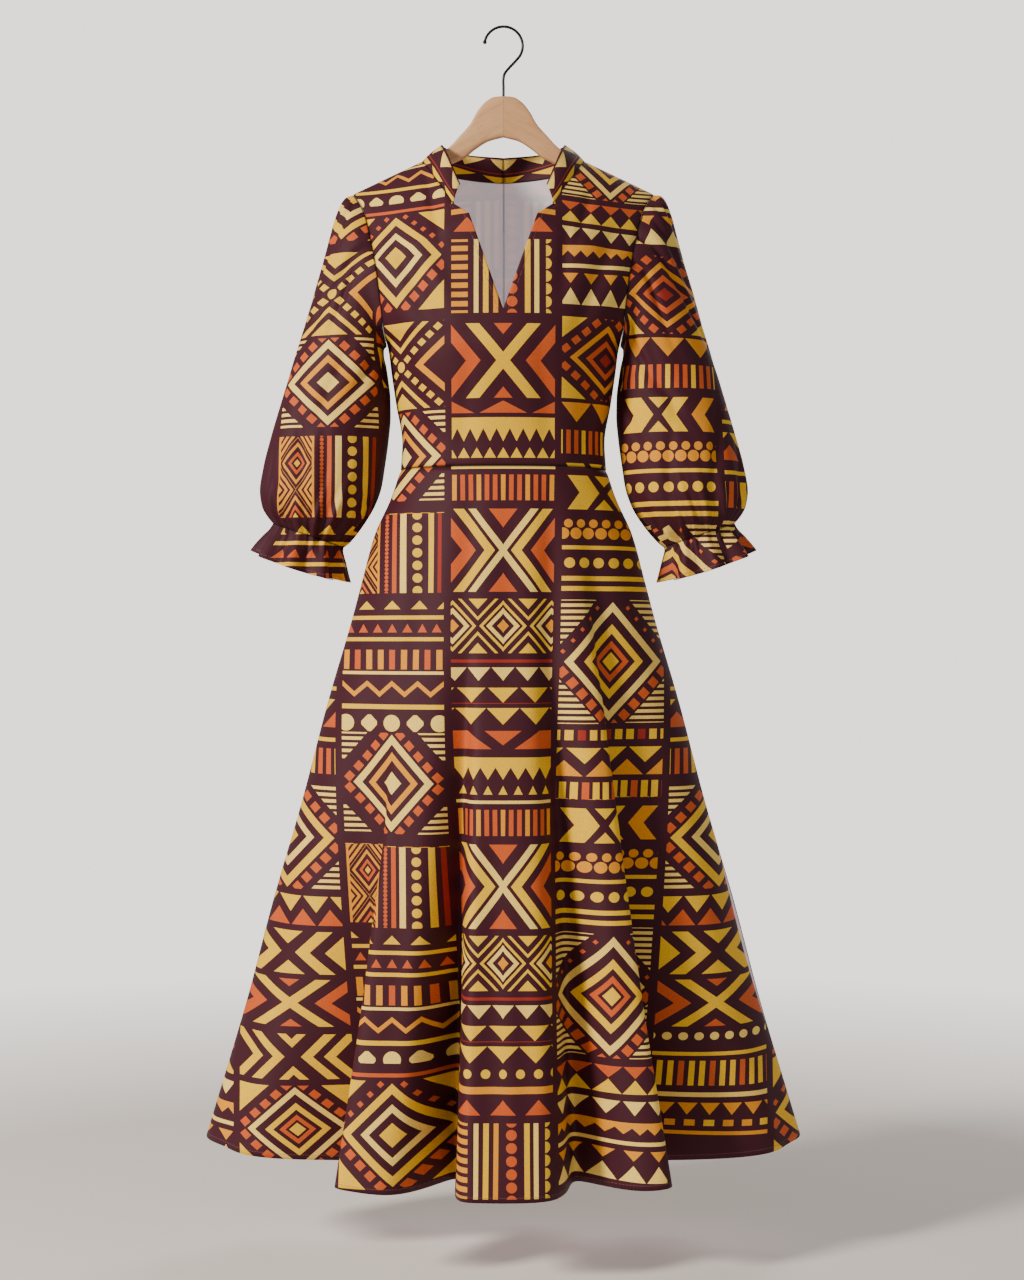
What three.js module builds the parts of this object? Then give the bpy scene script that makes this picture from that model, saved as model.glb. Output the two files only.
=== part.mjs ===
// A long dress with a V neck, a stand collar, gathered sleeves and a flared skirt, on a
// wooden hanger. Millimetres, +Z up, and the front of the dress faces -Y. The origin is the
// point under the top of the hook, where a rail or a nail carries it.

import * as THREE from 'three';

// Cloth
const WALL = 2;
const SEAM_GAP = 0.3;
const FOLD_EASE = 0.7;

// Heights of the seams on the body of the dress
const WAIST_Z = -575;
const UNDERARM_Z = -415;
const HEM_Z = -1473;
const SIDE_HEM_RISE = 36;

// Corners of the front neckline and the shoulder seam, as seen from the front
const NECK_POINT = { x: 105, z: -174 };
const SHOULDER_POINT = { x: 195, z: -217 };
const NOTCH_OUTER = { x: 63, z: -243 };
const NOTCH_INNER = { x: 43, z: -258 };
const V_POINT_Z = -381;
const BACK_NECK_Z = -192;

// How the torso rounds off towards its sides and over the shoulders
const SECTION_POWER = 2.2;
const SHOULDER_ROUND_DROP = 120;
const SHOULDER_ROUND_POWER = 0.55;

// Grid of a half bodice: rows from the shoulder seam to the waist, columns from the centre
const ARMHOLE_STEPS = 18;
const SIDE_STEPS = 9;
const BODICE_COLUMNS = 9;
const COLLAR_STEPS = 6;
const LEDGE_STEPS = 2;
const COLLAR_ROWS = 2;
const SKIRT_COLUMNS = { front: 60, back: 44 };
const SKIRT_ROWS = 13;

// Half width and depths of the torso at each height, front and back of the side seams
const TORSO = [
  { z: -174, halfWidth: 212, front: 86, back: 70 },
  { z: -217, halfWidth: 215, front: 97, back: 84 },
  { z: -270, halfWidth: 208, front: 107, back: 92 },
  { z: -320, halfWidth: 199, front: 114, back: 95 },
  { z: -372, halfWidth: 180, front: 122, back: 94 },
  { z: -400, halfWidth: 163, front: 124, back: 92 },
  { z: -415, halfWidth: 150, front: 124, back: 91 },
  { z: -450, halfWidth: 145, front: 116, back: 87 },
  { z: -490, halfWidth: 139, front: 102, back: 82 },
  { z: -540, halfWidth: 131, front: 90, back: 77 },
  { z: -575, halfWidth: 133, front: 86, back: 76 },
];

// The armhole seam as seen from the front and from the back
const ARMHOLE = [
  { z: -217, front: 195, back: 195 },
  { z: -243, front: 180, back: 184 },
  { z: -285, front: 169, back: 175 },
  { z: -320, front: 162, back: 169 },
  { z: -372, front: 155.5, back: 160 },
  { z: -400, front: 152.5, back: 154 },
  { z: -415, front: 150, back: 150 },
];

// Top edge of half the collar, by its share of the way from the centre back to the front end
const COLLAR_TOP = [
  { share: 0, x: 0, y: 52, z: -159 },
  { share: 0.3, x: 50, y: 40, z: -157 },
  { share: 0.5, x: 80, y: 4, z: -152 },
  { share: 0.7, x: 74, y: -34, z: -166 },
  { share: 1, x: 55, y: -66, z: -215 },
];

// The skirt at each height: half width, and depths front and back of the side seams
const SKIRT = [
  { z: -575, halfWidth: 133, front: 86, back: 76 },
  { z: -613, halfWidth: 146, front: 96, back: 84 },
  { z: -660, halfWidth: 167, front: 108, back: 92 },
  { z: -715, halfWidth: 182, front: 119, back: 99 },
  { z: -768, halfWidth: 196, front: 129, back: 105 },
  { z: -874, halfWidth: 227, front: 148, back: 116 },
  { z: -1004, halfWidth: 261, front: 168, back: 128 },
  { z: -1134, halfWidth: 299, front: 190, back: 140 },
  { z: -1263, halfWidth: 333, front: 210, back: 152 },
  { z: -1394, halfWidth: 372, front: 230, back: 164 },
  { z: -1473, halfWidth: 396, front: 242, back: 172 },
];

// Troughs between the folds that hang from the waist: the angle of each from the centre in
// degrees, its widths to the left and the right, how far it reaches in at the hem, and the
// height where it starts
const FRONT_FOLDS = [
  { angle: -72, left: 8, right: 8, reach: 12, top: -1000 },
  { angle: -38, left: 18, right: 3.4, reach: 150, top: -900 },
  { angle: -12.6, left: 5, right: 3, reach: 125, top: -780 },
  { angle: 18, left: 6, right: 5.5, reach: 100, top: -640 },
  { angle: 38.5, left: 3.6, right: 18, reach: 145, top: -700 },
  { angle: 75, left: 8, right: 8, reach: 10, top: -1050 },
];
const BACK_FOLDS = [
  { angle: -62, left: 7, right: 7, reach: 50, top: -860 },
  { angle: -31, left: 6, right: 7, reach: 75, top: -740 },
  { angle: -3, left: 7, right: 6, reach: 80, top: -660 },
  { angle: 26, left: 7, right: 6, reach: 70, top: -720 },
  { angle: 57, left: 7, right: 7, reach: 55, top: -880 },
];

// Rings of a sleeve from the armhole to the cuff seam. Seen from the front each ring is a
// line from its inner to its outer end, and it reaches its depths in front and behind.
const SLEEVE_COLUMNS = 36;
const SLEEVE = [
  { innerX: 150, innerZ: -415, outerX: 195, outerZ: -217, front: 66, back: 62, gather: 0 },
  { innerX: 154.5, innerZ: -419, outerX: 207, outerZ: -226, front: 66, back: 62, gather: 0 },
  { innerX: 155, innerZ: -427, outerX: 217, outerZ: -246, front: 66, back: 62, gather: 0 },
  { innerX: 152.5, innerZ: -440, outerX: 226, outerZ: -276, front: 66, back: 62, gather: 0 },
  { innerX: 150, innerZ: -458, outerX: 235, outerZ: -309, front: 65, back: 61, gather: 0 },
  { innerX: 147.5, innerZ: -480, outerX: 246, outerZ: -345, front: 64, back: 60, gather: 0 },
  { innerX: 147, innerZ: -505, outerX: 258, outerZ: -388, front: 64, back: 60, gather: 0 },
  { innerX: 149.5, innerZ: -535, outerX: 272, outerZ: -433, front: 65, back: 60, gather: 0 },
  { innerX: 154, innerZ: -568, outerX: 287, outerZ: -483, front: 67, back: 61, gather: 0 },
  { innerX: 159, innerZ: -598, outerX: 301, outerZ: -530, front: 68, back: 62, gather: 0 },
  { innerX: 168, innerZ: -622, outerX: 311, outerZ: -570, front: 68, back: 62, gather: 0 },
  { innerX: 181, innerZ: -642, outerX: 315, outerZ: -600, front: 64, back: 58, gather: 0.8 },
  { innerX: 196, innerZ: -660, outerX: 311, outerZ: -623, front: 54, back: 50, gather: 2 },
  { innerX: 205, innerZ: -669, outerX: 303, outerZ: -637, front: 42, back: 40, gather: 2.8 },
  { innerX: 211, innerZ: -674.5, outerX: 297, outerZ: -645, front: 36, back: 34, gather: 2.2 },
];
const CAP_BLEND_RINGS = 5;
const CAP_GATHERS = [
  { ring: 1, reach: 1.6 },
  { ring: 2, reach: 2.2 },
  { ring: 3, reach: 1.2 },
];
const CAP_GATHER_SPREAD = 55;

// Rings of the flounce below the cuff seam, like the sleeve's, with its ruffle waves
const FLOUNCE_WAVES = 9;
const FLOUNCE_DROOP = 8;
const FLOUNCE = [
  { innerX: 209.5, innerZ: -684, outerX: 301, outerZ: -653, front: 38, back: 36, gather: 1, wave: 2 },
  { innerX: 207.5, innerZ: -695, outerX: 308, outerZ: -662, front: 42, back: 40, gather: 0, wave: 4.5 },
  { innerX: 205.5, innerZ: -706, outerX: 315.5, outerZ: -671.5, front: 46, back: 44, gather: 0, wave: 6 },
  { innerX: 203, innerZ: -717, outerX: 322, outerZ: -681, front: 50, back: 48, gather: 0, wave: 7 },
];

// Hanger: half outlines of the wooden bar from the centre out, and the wire hook
const BAR_THICKNESS = 14;
const BAR_EDGE = 3;
const BAR_TOP = [
  { x: 0, z: -89 },
  { x: 12, z: -90 },
  { x: 24, z: -97 },
  { x: 34, z: -109 },
  { x: 43, z: -125 },
  { x: 56, z: -140 },
  { x: 71, z: -156 },
  { x: 89, z: -169 },
  { x: 107, z: -179.3 },
  { x: 145, z: -197.3 },
  { x: 176, z: -213.2 },
];
const BAR_END = { x: 184, z: -224 };
const BAR_BOTTOM = [
  { x: 178, z: -232 },
  { x: 145, z: -217 },
  { x: 107, z: -199 },
  { x: 68, z: -177 },
  { x: 51, z: -169 },
  { x: 37, z: -158 },
  { x: 19, z: -147 },
  { x: 0, z: -142 },
];
const WIRE_DIAMETER = 3.6;
const WIRE_SIDES = 8;
const HOOK_RADIUS = 25;
const HOOK_TIP_ANGLE = 175;
const HOOK_STEM_ANGLE = -52;
const STEM_TOP_Z = -66;
const WIRE_STEPS = 44;

const CLOTH = { color: 0x512a33, roughness: 0.75, metalness: 0 };
const WOOD = { color: 0xc9a27c, roughness: 0.55, metalness: 0 };
const WIRE = { color: 0x1c1b1d, roughness: 0.35, metalness: 0.8 };

const UP = new THREE.Vector3(0, 0, 1);
const ACROSS_X = new THREE.Vector3(1, 0, 0);
const ACROSS_Y = new THREE.Vector3(0, 1, 0);

// Value of a table's column at any key, smooth and never past the rows on either side
function tableValue(rows, key, column, at) {
  const order = rows[0][key] < rows[rows.length - 1][key] ? rows : [...rows].reverse();
  const keys = order.map((row) => row[key]);
  const values = order.map((row) => row[column]);
  const last = keys.length - 1;
  if (at <= keys[0]) return values[0];
  if (at >= keys[last]) return values[last];
  let i = 0;
  while (at > keys[i + 1]) i += 1;
  const slope = (n) => (values[n + 1] - values[n]) / (keys[n + 1] - keys[n]);
  const tangent = (n) => {
    if (n === 0) return slope(0);
    if (n === last) return slope(last - 1);
    const product = slope(n - 1) * slope(n);
    return product <= 0 ? 0 : (2 * product) / (slope(n - 1) + slope(n));
  };
  const span = keys[i + 1] - keys[i];
  const t = (at - keys[i]) / span;
  const bend = t * t * (3 - 2 * t);
  const start = t * (1 - t) * (1 - t) * span * tangent(i);
  const end = t * t * (1 - t) * span * tangent(i + 1);
  return values[i] + (values[i + 1] - values[i]) * bend + start - end;
}

// The middle surface of a cloth piece: points, and four-sided faces listed anticlockwise
// as seen from outside. Points in the same place are one point.
class Sheet {
  constructor() {
    this.points = [];
    this.quads = [];
    this.seamPlanes = [];
    this.numbers = new Map();
  }

  // A point may lie on seams: the wall's edge there stays square to each seam's plane.
  add(point, ...planes) {
    const key = point.toArray().map((value) => value.toFixed(4)).join(' ');
    if (!this.numbers.has(key)) {
      this.numbers.set(key, this.points.length);
      this.points.push(point.clone());
      this.seamPlanes.push(planes);
    }
    return this.numbers.get(key);
  }

  addQuad(a, b, c, d, facesOut) {
    this.quads.push(facesOut ? [a, b, c, d] : [d, c, b, a]);
  }

  normals() {
    const sums = this.points.map(() => new THREE.Vector3());
    for (const quad of this.quads) {
      const [a, b, c, d] = quad.map((n) => this.points[n]);
      const across = c.clone().sub(a).cross(d.clone().sub(b));
      quad.forEach((n) => sums[n].add(across));
    }
    return sums.map((sum, n) => {
      this.seamPlanes[n].forEach((plane) => sum.addScaledVector(plane, -sum.dot(plane)));
      return sum.normalize();
    });
  }
}

// Closed wall of even thickness round a sheet, with square edges
function wallGeometry(sheet) {
  const normals = sheet.normals();
  const count = sheet.points.length;
  const outer = sheet.points.map((p, n) => p.clone().addScaledVector(normals[n], WALL / 2));
  const inner = sheet.points.map((p, n) => p.clone().addScaledVector(normals[n], -WALL / 2));
  const faces = [];
  const edges = new Map();
  for (const [a, b, c, d] of sheet.quads) {
    faces.push(a, b, c, a, c, d);
    faces.push(a + count, c + count, b + count, a + count, d + count, c + count);
    for (const [from, to] of [[a, b], [b, c], [c, d], [d, a]]) {
      if (edges.has(`${to} ${from}`)) edges.delete(`${to} ${from}`);
      else edges.set(`${from} ${to}`, [from, to]);
    }
  }
  for (const [from, to] of edges.values()) {
    faces.push(to, from, from + count, to, from + count, to + count);
  }
  const geometry = new THREE.BufferGeometry();
  const places = [...outer, ...inner].flatMap((p) => p.toArray());
  geometry.setAttribute('position', new THREE.Float32BufferAttribute(places, 3));
  geometry.setIndex(faces);
  geometry.computeVertexNormals();
  return geometry;
}

function clothMesh(name, sheet) {
  const mesh = new THREE.Mesh(wallGeometry(sheet), new THREE.MeshStandardMaterial(CLOTH));
  mesh.name = name;
  return mesh;
}

// Height of the shoulder seam's line at a distance from the centre
function shoulderLine(x) {
  const slope = (SHOULDER_POINT.z - NECK_POINT.z) / (SHOULDER_POINT.x - NECK_POINT.x);
  return NECK_POINT.z + slope * (Math.abs(x) - NECK_POINT.x);
}

// How far the torso's cloth stands in front of or behind the plane of the side seams
function torsoDepth(x, z, face) {
  const share = Math.min(Math.abs(x) / tableValue(TORSO, 'z', 'halfWidth', z), 1);
  const section = (1 - share ** SECTION_POWER) ** (1 / SECTION_POWER);
  const drop = Math.max(shoulderLine(x) - z, 0);
  const rounding = Math.min(drop / SHOULDER_ROUND_DROP, 1) ** SHOULDER_ROUND_POWER;
  return tableValue(TORSO, 'z', face, z) * section * rounding;
}

// A point of the torso at x and z, on the front or the back
function torsoPoint(x, z, face) {
  const depth = Math.max(torsoDepth(x, z, face), SEAM_GAP / 2);
  return new THREE.Vector3(x, face === 'front' ? -depth : depth, z);
}

// Height of a step down the armhole, close together at the shoulder and the underarm
function armholeHeight(step) {
  const angle = (Math.PI * step) / ARMHOLE_STEPS;
  return SHOULDER_POINT.z + ((UNDERARM_Z - SHOULDER_POINT.z) * (1 - Math.cos(angle))) / 2;
}

// Outer end of a bodice row: the armhole seam, then the side seam
function bodiceOuterEnd(row, face) {
  if (row <= ARMHOLE_STEPS) {
    const z = armholeHeight(row);
    return { x: tableValue(ARMHOLE, 'z', face, z), z };
  }
  const share = (row - ARMHOLE_STEPS) / SIDE_STEPS;
  const z = UNDERARM_Z + (WAIST_Z + SEAM_GAP / 2 - UNDERARM_Z) * share;
  return { x: tableValue(TORSO, 'z', 'halfWidth', z), z };
}

function between(from, to, share) {
  return { x: from.x + (to.x - from.x) * share, z: from.z + (to.z - from.z) * share };
}

// Inner end of a front row: collar seam, ledge of the notch, V neck, then the centre line
function frontInnerEnd(row) {
  const ledgeEnd = COLLAR_STEPS + LEDGE_STEPS;
  if (row <= COLLAR_STEPS) return between(NECK_POINT, NOTCH_OUTER, (row / COLLAR_STEPS) ** 1.4);
  if (row <= ledgeEnd) {
    return between(NOTCH_OUTER, NOTCH_INNER, (row - COLLAR_STEPS) / LEDGE_STEPS);
  }
  const vPoint = { x: 0, z: V_POINT_Z };
  if (row <= ARMHOLE_STEPS) {
    return between(NOTCH_INNER, vPoint, (row - ledgeEnd) / (ARMHOLE_STEPS - ledgeEnd));
  }
  const waist = { x: 0, z: WAIST_Z + SEAM_GAP / 2 };
  return between(vPoint, waist, (row - ARMHOLE_STEPS) / SIDE_STEPS);
}

// Inner end of a back row: the collar seam, then the centre back seam
function backInnerEnd(row) {
  if (row <= COLLAR_STEPS) {
    const angle = (Math.PI / 2) * (row / COLLAR_STEPS);
    const drop = (BACK_NECK_Z - NECK_POINT.z) * Math.sin(angle);
    return { x: NECK_POINT.x * Math.cos(angle), z: NECK_POINT.z + drop };
  }
  const lastRow = ARMHOLE_STEPS + SIDE_STEPS;
  const top = { x: 0, z: BACK_NECK_Z };
  const waist = { x: 0, z: WAIST_Z + SEAM_GAP / 2 };
  return between(top, waist, (row - COLLAR_STEPS) / (lastRow - COLLAR_STEPS));
}

// Points of a half bodice in rows from the shoulder down, each from the inner end out
function bodiceGrid(face, side) {
  const rows = [];
  for (let row = 0; row <= ARMHOLE_STEPS + SIDE_STEPS; row += 1) {
    const inner = face === 'front' ? frontInnerEnd(row) : backInnerEnd(row);
    const outer = bodiceOuterEnd(row, face);
    const turn = THREE.MathUtils.smoothstep(row, ARMHOLE_STEPS / 2, ARMHOLE_STEPS);
    const points = [];
    for (let column = 0; column <= BODICE_COLUMNS; column += 1) {
      const share = column / BODICE_COLUMNS;
      const round = Math.sin((Math.PI / 2) * share);
      const place = between(inner, outer, share + (round - share) * turn);
      const centreGap = face === 'back' ? SEAM_GAP / 2 : 0;
      points.push(torsoPoint(side * Math.max(place.x, centreGap), place.z, face));
    }
    rows.push(points);
  }
  return rows;
}

// Seam planes that a point of the bodice grid lies on
function bodiceSeams(row, column, face) {
  const lastRow = ARMHOLE_STEPS + SIDE_STEPS;
  const planes = [];
  const onSide = column === BODICE_COLUMNS && row >= ARMHOLE_STEPS;
  if (row === 0 || onSide) planes.push(ACROSS_Y);
  if (face === 'back' && column === 0 && row >= COLLAR_STEPS) planes.push(ACROSS_X);
  if (row === lastRow) planes.push(UP);
  return planes;
}

function addBodiceHalf(sheet, grid, face, side) {
  const numbers = grid.map((points, row) =>
    points.map((point, column) => sheet.add(point, ...bodiceSeams(row, column, face))));
  const facesOut = (face === 'front') === (side > 0);
  for (let row = 0; row < numbers.length - 1; row += 1) {
    for (let column = 0; column < BODICE_COLUMNS; column += 1) {
      const upper = numbers[row];
      const lower = numbers[row + 1];
      sheet.addQuad(upper[column], lower[column], lower[column + 1], upper[column + 1], facesOut);
    }
  }
  return numbers;
}

// One half of the dress body: its grids, sheet numbers and normals, front and back
function bodiceSide(side, frontSheet) {
  const faces = {};
  for (const face of ['front', 'back']) {
    const sheet = face === 'front' ? frontSheet : new Sheet();
    const grid = bodiceGrid(face, side);
    faces[face] = { sheet, grid, numbers: addBodiceHalf(sheet, grid, face, side) };
  }
  return faces;
}

// A seam point of the bodice with its normal, the way out of the cloth and the next seam point
function seamEdge(faceParts, row, column) {
  const number = faceParts.numbers[row][column];
  return { point: faceParts.grid[row][column], normal: faceParts.normals[number] };
}

// Where the next piece's wall starts so that it butts on this edge with the seam gap: its
// cloth leaves the edge in a direction, straight on, bent, or folded back over the outside.
function seamStart(edge, wayOut, leaving) {
  const half = WALL / 2;
  const direct = leaving.clone().normalize();
  const onward = direct.dot(wayOut);
  const raised = direct.dot(edge.normal);
  const bend = Math.atan2(Math.abs(raised), onward);
  const start = edge.point.clone();
  if (bend <= Math.PI / 2) {
    return start.addScaledVector(wayOut, SEAM_GAP + half * Math.sin(bend));
  }
  const past = bend - Math.PI / 2;
  start.addScaledVector(wayOut, (half + SEAM_GAP + FOLD_EASE) * Math.cos(past));
  return start.addScaledVector(edge.normal, (WALL + SEAM_GAP + FOLD_EASE) * Math.sin(past));
}

// Direction out of an edge of cloth, square to the edge and to the cloth's normal
function wayOutOf(edge, before, after, towards) {
  const along = after.clone().sub(before).normalize();
  const way = along.cross(edge.normal).normalize();
  return way.dot(towards) < 0 ? way.negate() : way;
}

// Seam points of half the collar seam, from the centre back to the notch
function neckEdges(faces) {
  const edges = [];
  for (let row = COLLAR_STEPS; row > 0; row -= 1) edges.push(seamEdge(faces.back, row, 0));
  for (let row = 0; row <= COLLAR_STEPS; row += 1) edges.push(seamEdge(faces.front, row, 0));
  return edges;
}

function collarSheet(faces, side) {
  const edges = neckEdges(faces);
  const last = edges.length - 1;
  const tops = edges.map((edge, n) => {
    const at = (column) => tableValue(COLLAR_TOP, 'share', column, n / last);
    return new THREE.Vector3(side * Math.max(at('x'), SEAM_GAP / 2), at('y'), at('z'));
  });
  const bottoms = edges.map((edge, n) => {
    const before = edges[Math.max(n - 1, 0)].point;
    const after = edges[Math.min(n + 1, last)].point;
    const leaving = tops[n].clone().sub(edge.point);
    const start = seamStart(edge, wayOutOf(edge, before, after, leaving), leaving);
    if (n === 0) start.x = (side * SEAM_GAP) / 2;
    return start;
  });
  const sheet = new Sheet();
  const rows = [];
  for (let row = 0; row <= COLLAR_ROWS; row += 1) {
    rows.push(bottoms.map((bottom, n) => {
      const point = bottom.clone().lerp(tops[n], row / COLLAR_ROWS);
      return n === 0 ? sheet.add(point, ACROSS_X) : sheet.add(point);
    }));
  }
  for (let row = 0; row < COLLAR_ROWS; row += 1) {
    for (let n = 0; n < last; n += 1) {
      const lower = rows[row];
      const upper = rows[row + 1];
      sheet.addQuad(lower[n], upper[n], upper[n + 1], lower[n + 1], side > 0);
    }
  }
  return sheet;
}

// A point of a sleeve or flounce ring at an angle from its outer end, 90 degrees in front
function ringPoint(ring, angle, side) {
  const outward = Math.cos(angle) / 2;
  const depth = Math.sin(angle);
  return new THREE.Vector3(
    side * ((ring.innerX + ring.outerX) / 2 + (ring.outerX - ring.innerX) * outward),
    -depth * (depth > 0 ? ring.front : ring.back),
    (ring.innerZ + ring.outerZ) / 2 + (ring.outerZ - ring.innerZ) * outward,
  );
}

// The same point moved out from the middle of its ring
function ringPointOut(ring, angle, side, reach) {
  const point = ringPoint(ring, angle, side);
  const middle = ringPoint(ring, 0, side).add(ringPoint(ring, Math.PI, side)).multiplyScalar(0.5);
  return point.addScaledVector(point.clone().sub(middle).normalize(), reach);
}

// Every second column of a gathered stretch stands out, and the ones between lie in
function gatherAt(column, reach) {
  return column % 2 === 0 ? reach : -reach;
}

// The armhole seam as a ring of bodice edges, one for each column of the sleeve
function armholeEdges(faces) {
  const edges = [];
  for (let column = 0; column < SLEEVE_COLUMNS; column += 1) {
    const inFront = column <= ARMHOLE_STEPS;
    const row = inFront ? column : SLEEVE_COLUMNS - column;
    edges.push(seamEdge(inFront ? faces.front : faces.back, row, BODICE_COLUMNS));
  }
  return edges;
}

function sleeveSheet(faces, side) {
  const edges = armholeEdges(faces);
  const angles = edges.map((edge, column) => (2 * Math.PI * column) / SLEEVE_COLUMNS);
  const rings = SLEEVE.map((ring, n) => angles.map((angle, column) => {
    const capReach = CAP_GATHERS.find((gather) => gather.ring === n)?.reach ?? 0;
    const fromTop = Math.min(angle, 2 * Math.PI - angle) / THREE.MathUtils.degToRad(CAP_GATHER_SPREAD);
    const reach = ring.gather + capReach * Math.max(1 - fromTop ** 2, 0);
    const point = ringPointOut(ring, angle, side, gatherAt(column, reach));
    const fade = Math.max(1 - n / CAP_BLEND_RINGS, 0) ** 2;
    const shift = edges[column].point.clone().sub(ringPoint(SLEEVE[0], angle, side));
    return point.addScaledVector(shift, fade);
  }));
  rings[0] = edges.map((edge, column) => {
    const before = edges[(column + SLEEVE_COLUMNS - 1) % SLEEVE_COLUMNS].point;
    const after = edges[(column + 1) % SLEEVE_COLUMNS].point;
    const leaving = rings[1][column].clone().sub(edge.point);
    const away = new THREE.Vector3(side, 0, column === ARMHOLE_STEPS ? 1 : 0);
    const outwards = column > ARMHOLE_STEPS - 3 && column < ARMHOLE_STEPS + 3 ? UP : away;
    return seamStart(edge, wayOutOf(edge, before, after, outwards), leaving);
  });
  return tubeSheet(rings, side, rings.length - 1, cuffDirection(side));
}

// A sheet round rings of points, open at both ends, with one ring on a seam's plane
function tubeSheet(rings, side, seamRing, seamPlane) {
  const sheet = new Sheet();
  const numbers = rings.map((ring, n) => {
    const planes = n === seamRing ? [seamPlane] : [];
    return ring.map((point) => sheet.add(point, ...planes));
  });
  const columns = rings[0].length;
  for (let row = 0; row < numbers.length - 1; row += 1) {
    for (let column = 0; column < columns; column += 1) {
      const next = (column + 1) % columns;
      const upper = numbers[row];
      const lower = numbers[row + 1];
      sheet.addQuad(upper[column], upper[next], lower[next], lower[column], side > 0);
    }
  }
  return sheet;
}

// Direction down the arm through the cuff seam, square to the seam's plane
function cuffDirection(side) {
  const cuff = SLEEVE[SLEEVE.length - 1];
  const across = ringPoint(cuff, 0, side).sub(ringPoint(cuff, Math.PI, side));
  return across.cross(ACROSS_Y).multiplyScalar(-side).normalize();
}

function flounceSheet(side) {
  const down = cuffDirection(side);
  const rows = [SLEEVE[SLEEVE.length - 1], ...FLOUNCE];
  const rings = rows.map((ring, n) => {
    const points = [];
    for (let column = 0; column < SLEEVE_COLUMNS; column += 1) {
      const angle = (2 * Math.PI * column) / SLEEVE_COLUMNS;
      const wave = (ring.wave ?? 0) * Math.cos(FLOUNCE_WAVES * angle);
      const point = ringPointOut(ring, angle, side, gatherAt(column, ring.gather) + wave);
      if (n === 0) point.addScaledVector(down, SEAM_GAP);
      point.z -= FLOUNCE_DROOP * (n / FLOUNCE.length) * Math.abs(Math.sin(angle));
      points.push(point);
    }
    return points;
  });
  return tubeSheet(rings, side, 0, down);
}

// Inward reach of the troughs at an angle and a height of the skirt
function foldReach(folds, degrees, z) {
  let reach = 0;
  for (const fold of folds) {
    const grown = THREE.MathUtils.clamp((fold.top - z) / (fold.top - HEM_Z), 0, 1);
    const width = degrees < fold.angle ? fold.left : fold.right;
    const offset = (degrees - fold.angle) / width;
    reach += fold.reach * grown ** 1.2 * Math.exp(-offset * offset);
  }
  return reach;
}

function skirtPoint(degrees, z, face, folds) {
  const angle = THREE.MathUtils.degToRad(degrees);
  const halfWidth = tableValue(SKIRT, 'z', 'halfWidth', z);
  const depth = tableValue(SKIRT, 'z', face, z);
  const share = Math.abs(Math.sin(angle));
  const power = THREE.MathUtils.mapLinear(z, WAIST_Z, HEM_Z, SECTION_POWER, 2);
  const section = Math.max(1 - share ** power, 0) ** (1 / power);
  const reach = foldReach(folds, degrees, z);
  const back = Math.max(depth * section - reach * Math.cos(angle), SEAM_GAP / 2);
  const x = halfWidth * Math.sin(angle) - reach * Math.sin(angle);
  return new THREE.Vector3(x, face === 'front' ? -back : back, z);
}

// Half of the skirt's top edge lies on the straight edges between the bodice's points
function waistPoint(bodiceRow, column, halfColumns) {
  const share = (Math.abs(column) / halfColumns) * BODICE_COLUMNS;
  const inner = Math.floor(share);
  const outer = Math.min(inner + 1, BODICE_COLUMNS);
  const point = bodiceRow[inner].clone().lerp(bodiceRow[outer], share - inner);
  point.x = Math.sign(column) * Math.abs(point.x);
  point.z = WAIST_Z - SEAM_GAP / 2;
  return point;
}

function skirtSheet(bodiceRow, face, folds) {
  const sheet = new Sheet();
  const halfColumns = SKIRT_COLUMNS[face] / 2;
  const rows = [];
  for (let row = 0; row <= SKIRT_ROWS; row += 1) {
    const numbers = [];
    for (let column = -halfColumns; column <= halfColumns; column += 1) {
      const degrees = (90 * column) / halfColumns;
      const side = Math.sin(THREE.MathUtils.degToRad(degrees));
      const hem = HEM_Z + SIDE_HEM_RISE * side * side;
      const z = WAIST_Z + (hem - WAIST_Z) * (row / SKIRT_ROWS);
      const point = row === 0
        ? waistPoint(bodiceRow, column, halfColumns)
        : skirtPoint(degrees, z, face, folds);
      const planes = Math.abs(column) === halfColumns ? [ACROSS_Y] : [];
      if (row === 0) planes.push(UP);
      numbers.push(sheet.add(point, ...planes));
    }
    rows.push(numbers);
  }
  for (let row = 0; row < SKIRT_ROWS; row += 1) {
    for (let n = 0; n < 2 * halfColumns; n += 1) {
      const upper = rows[row];
      const lower = rows[row + 1];
      sheet.addQuad(upper[n], lower[n], lower[n + 1], upper[n + 1], face === 'front');
    }
  }
  return sheet;
}

// Wooden bar: its outline seen from the front, extruded and eased along its edges
function hangerBar() {
  const toVectors = (rows, side) => rows.map((row) => new THREE.Vector2(side * row.x, row.z));
  const end = (side) => new THREE.Vector2(side * BAR_END.x, BAR_END.z);
  const rightHalf = [...toVectors(BAR_TOP, 1), end(1), ...toVectors(BAR_BOTTOM, 1)];
  const leftHalf = [...toVectors(BAR_BOTTOM, -1).reverse().slice(1), end(-1)];
  leftHalf.push(...toVectors(BAR_TOP, -1).reverse().slice(0, -1));
  const shape = new THREE.Shape([...rightHalf, ...leftHalf]);
  const geometry = new THREE.ExtrudeGeometry(shape, {
    depth: BAR_THICKNESS - 2 * BAR_EDGE,
    bevelThickness: BAR_EDGE,
    bevelSize: BAR_EDGE,
    bevelOffset: -BAR_EDGE,
    bevelSegments: 2,
  });
  geometry.translate(0, 0, -(BAR_THICKNESS - 2 * BAR_EDGE) / 2);
  geometry.rotateX(Math.PI / 2);
  const mesh = new THREE.Mesh(geometry, new THREE.MeshStandardMaterial(WOOD));
  mesh.name = 'hanger_bar';
  return mesh;
}

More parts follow.
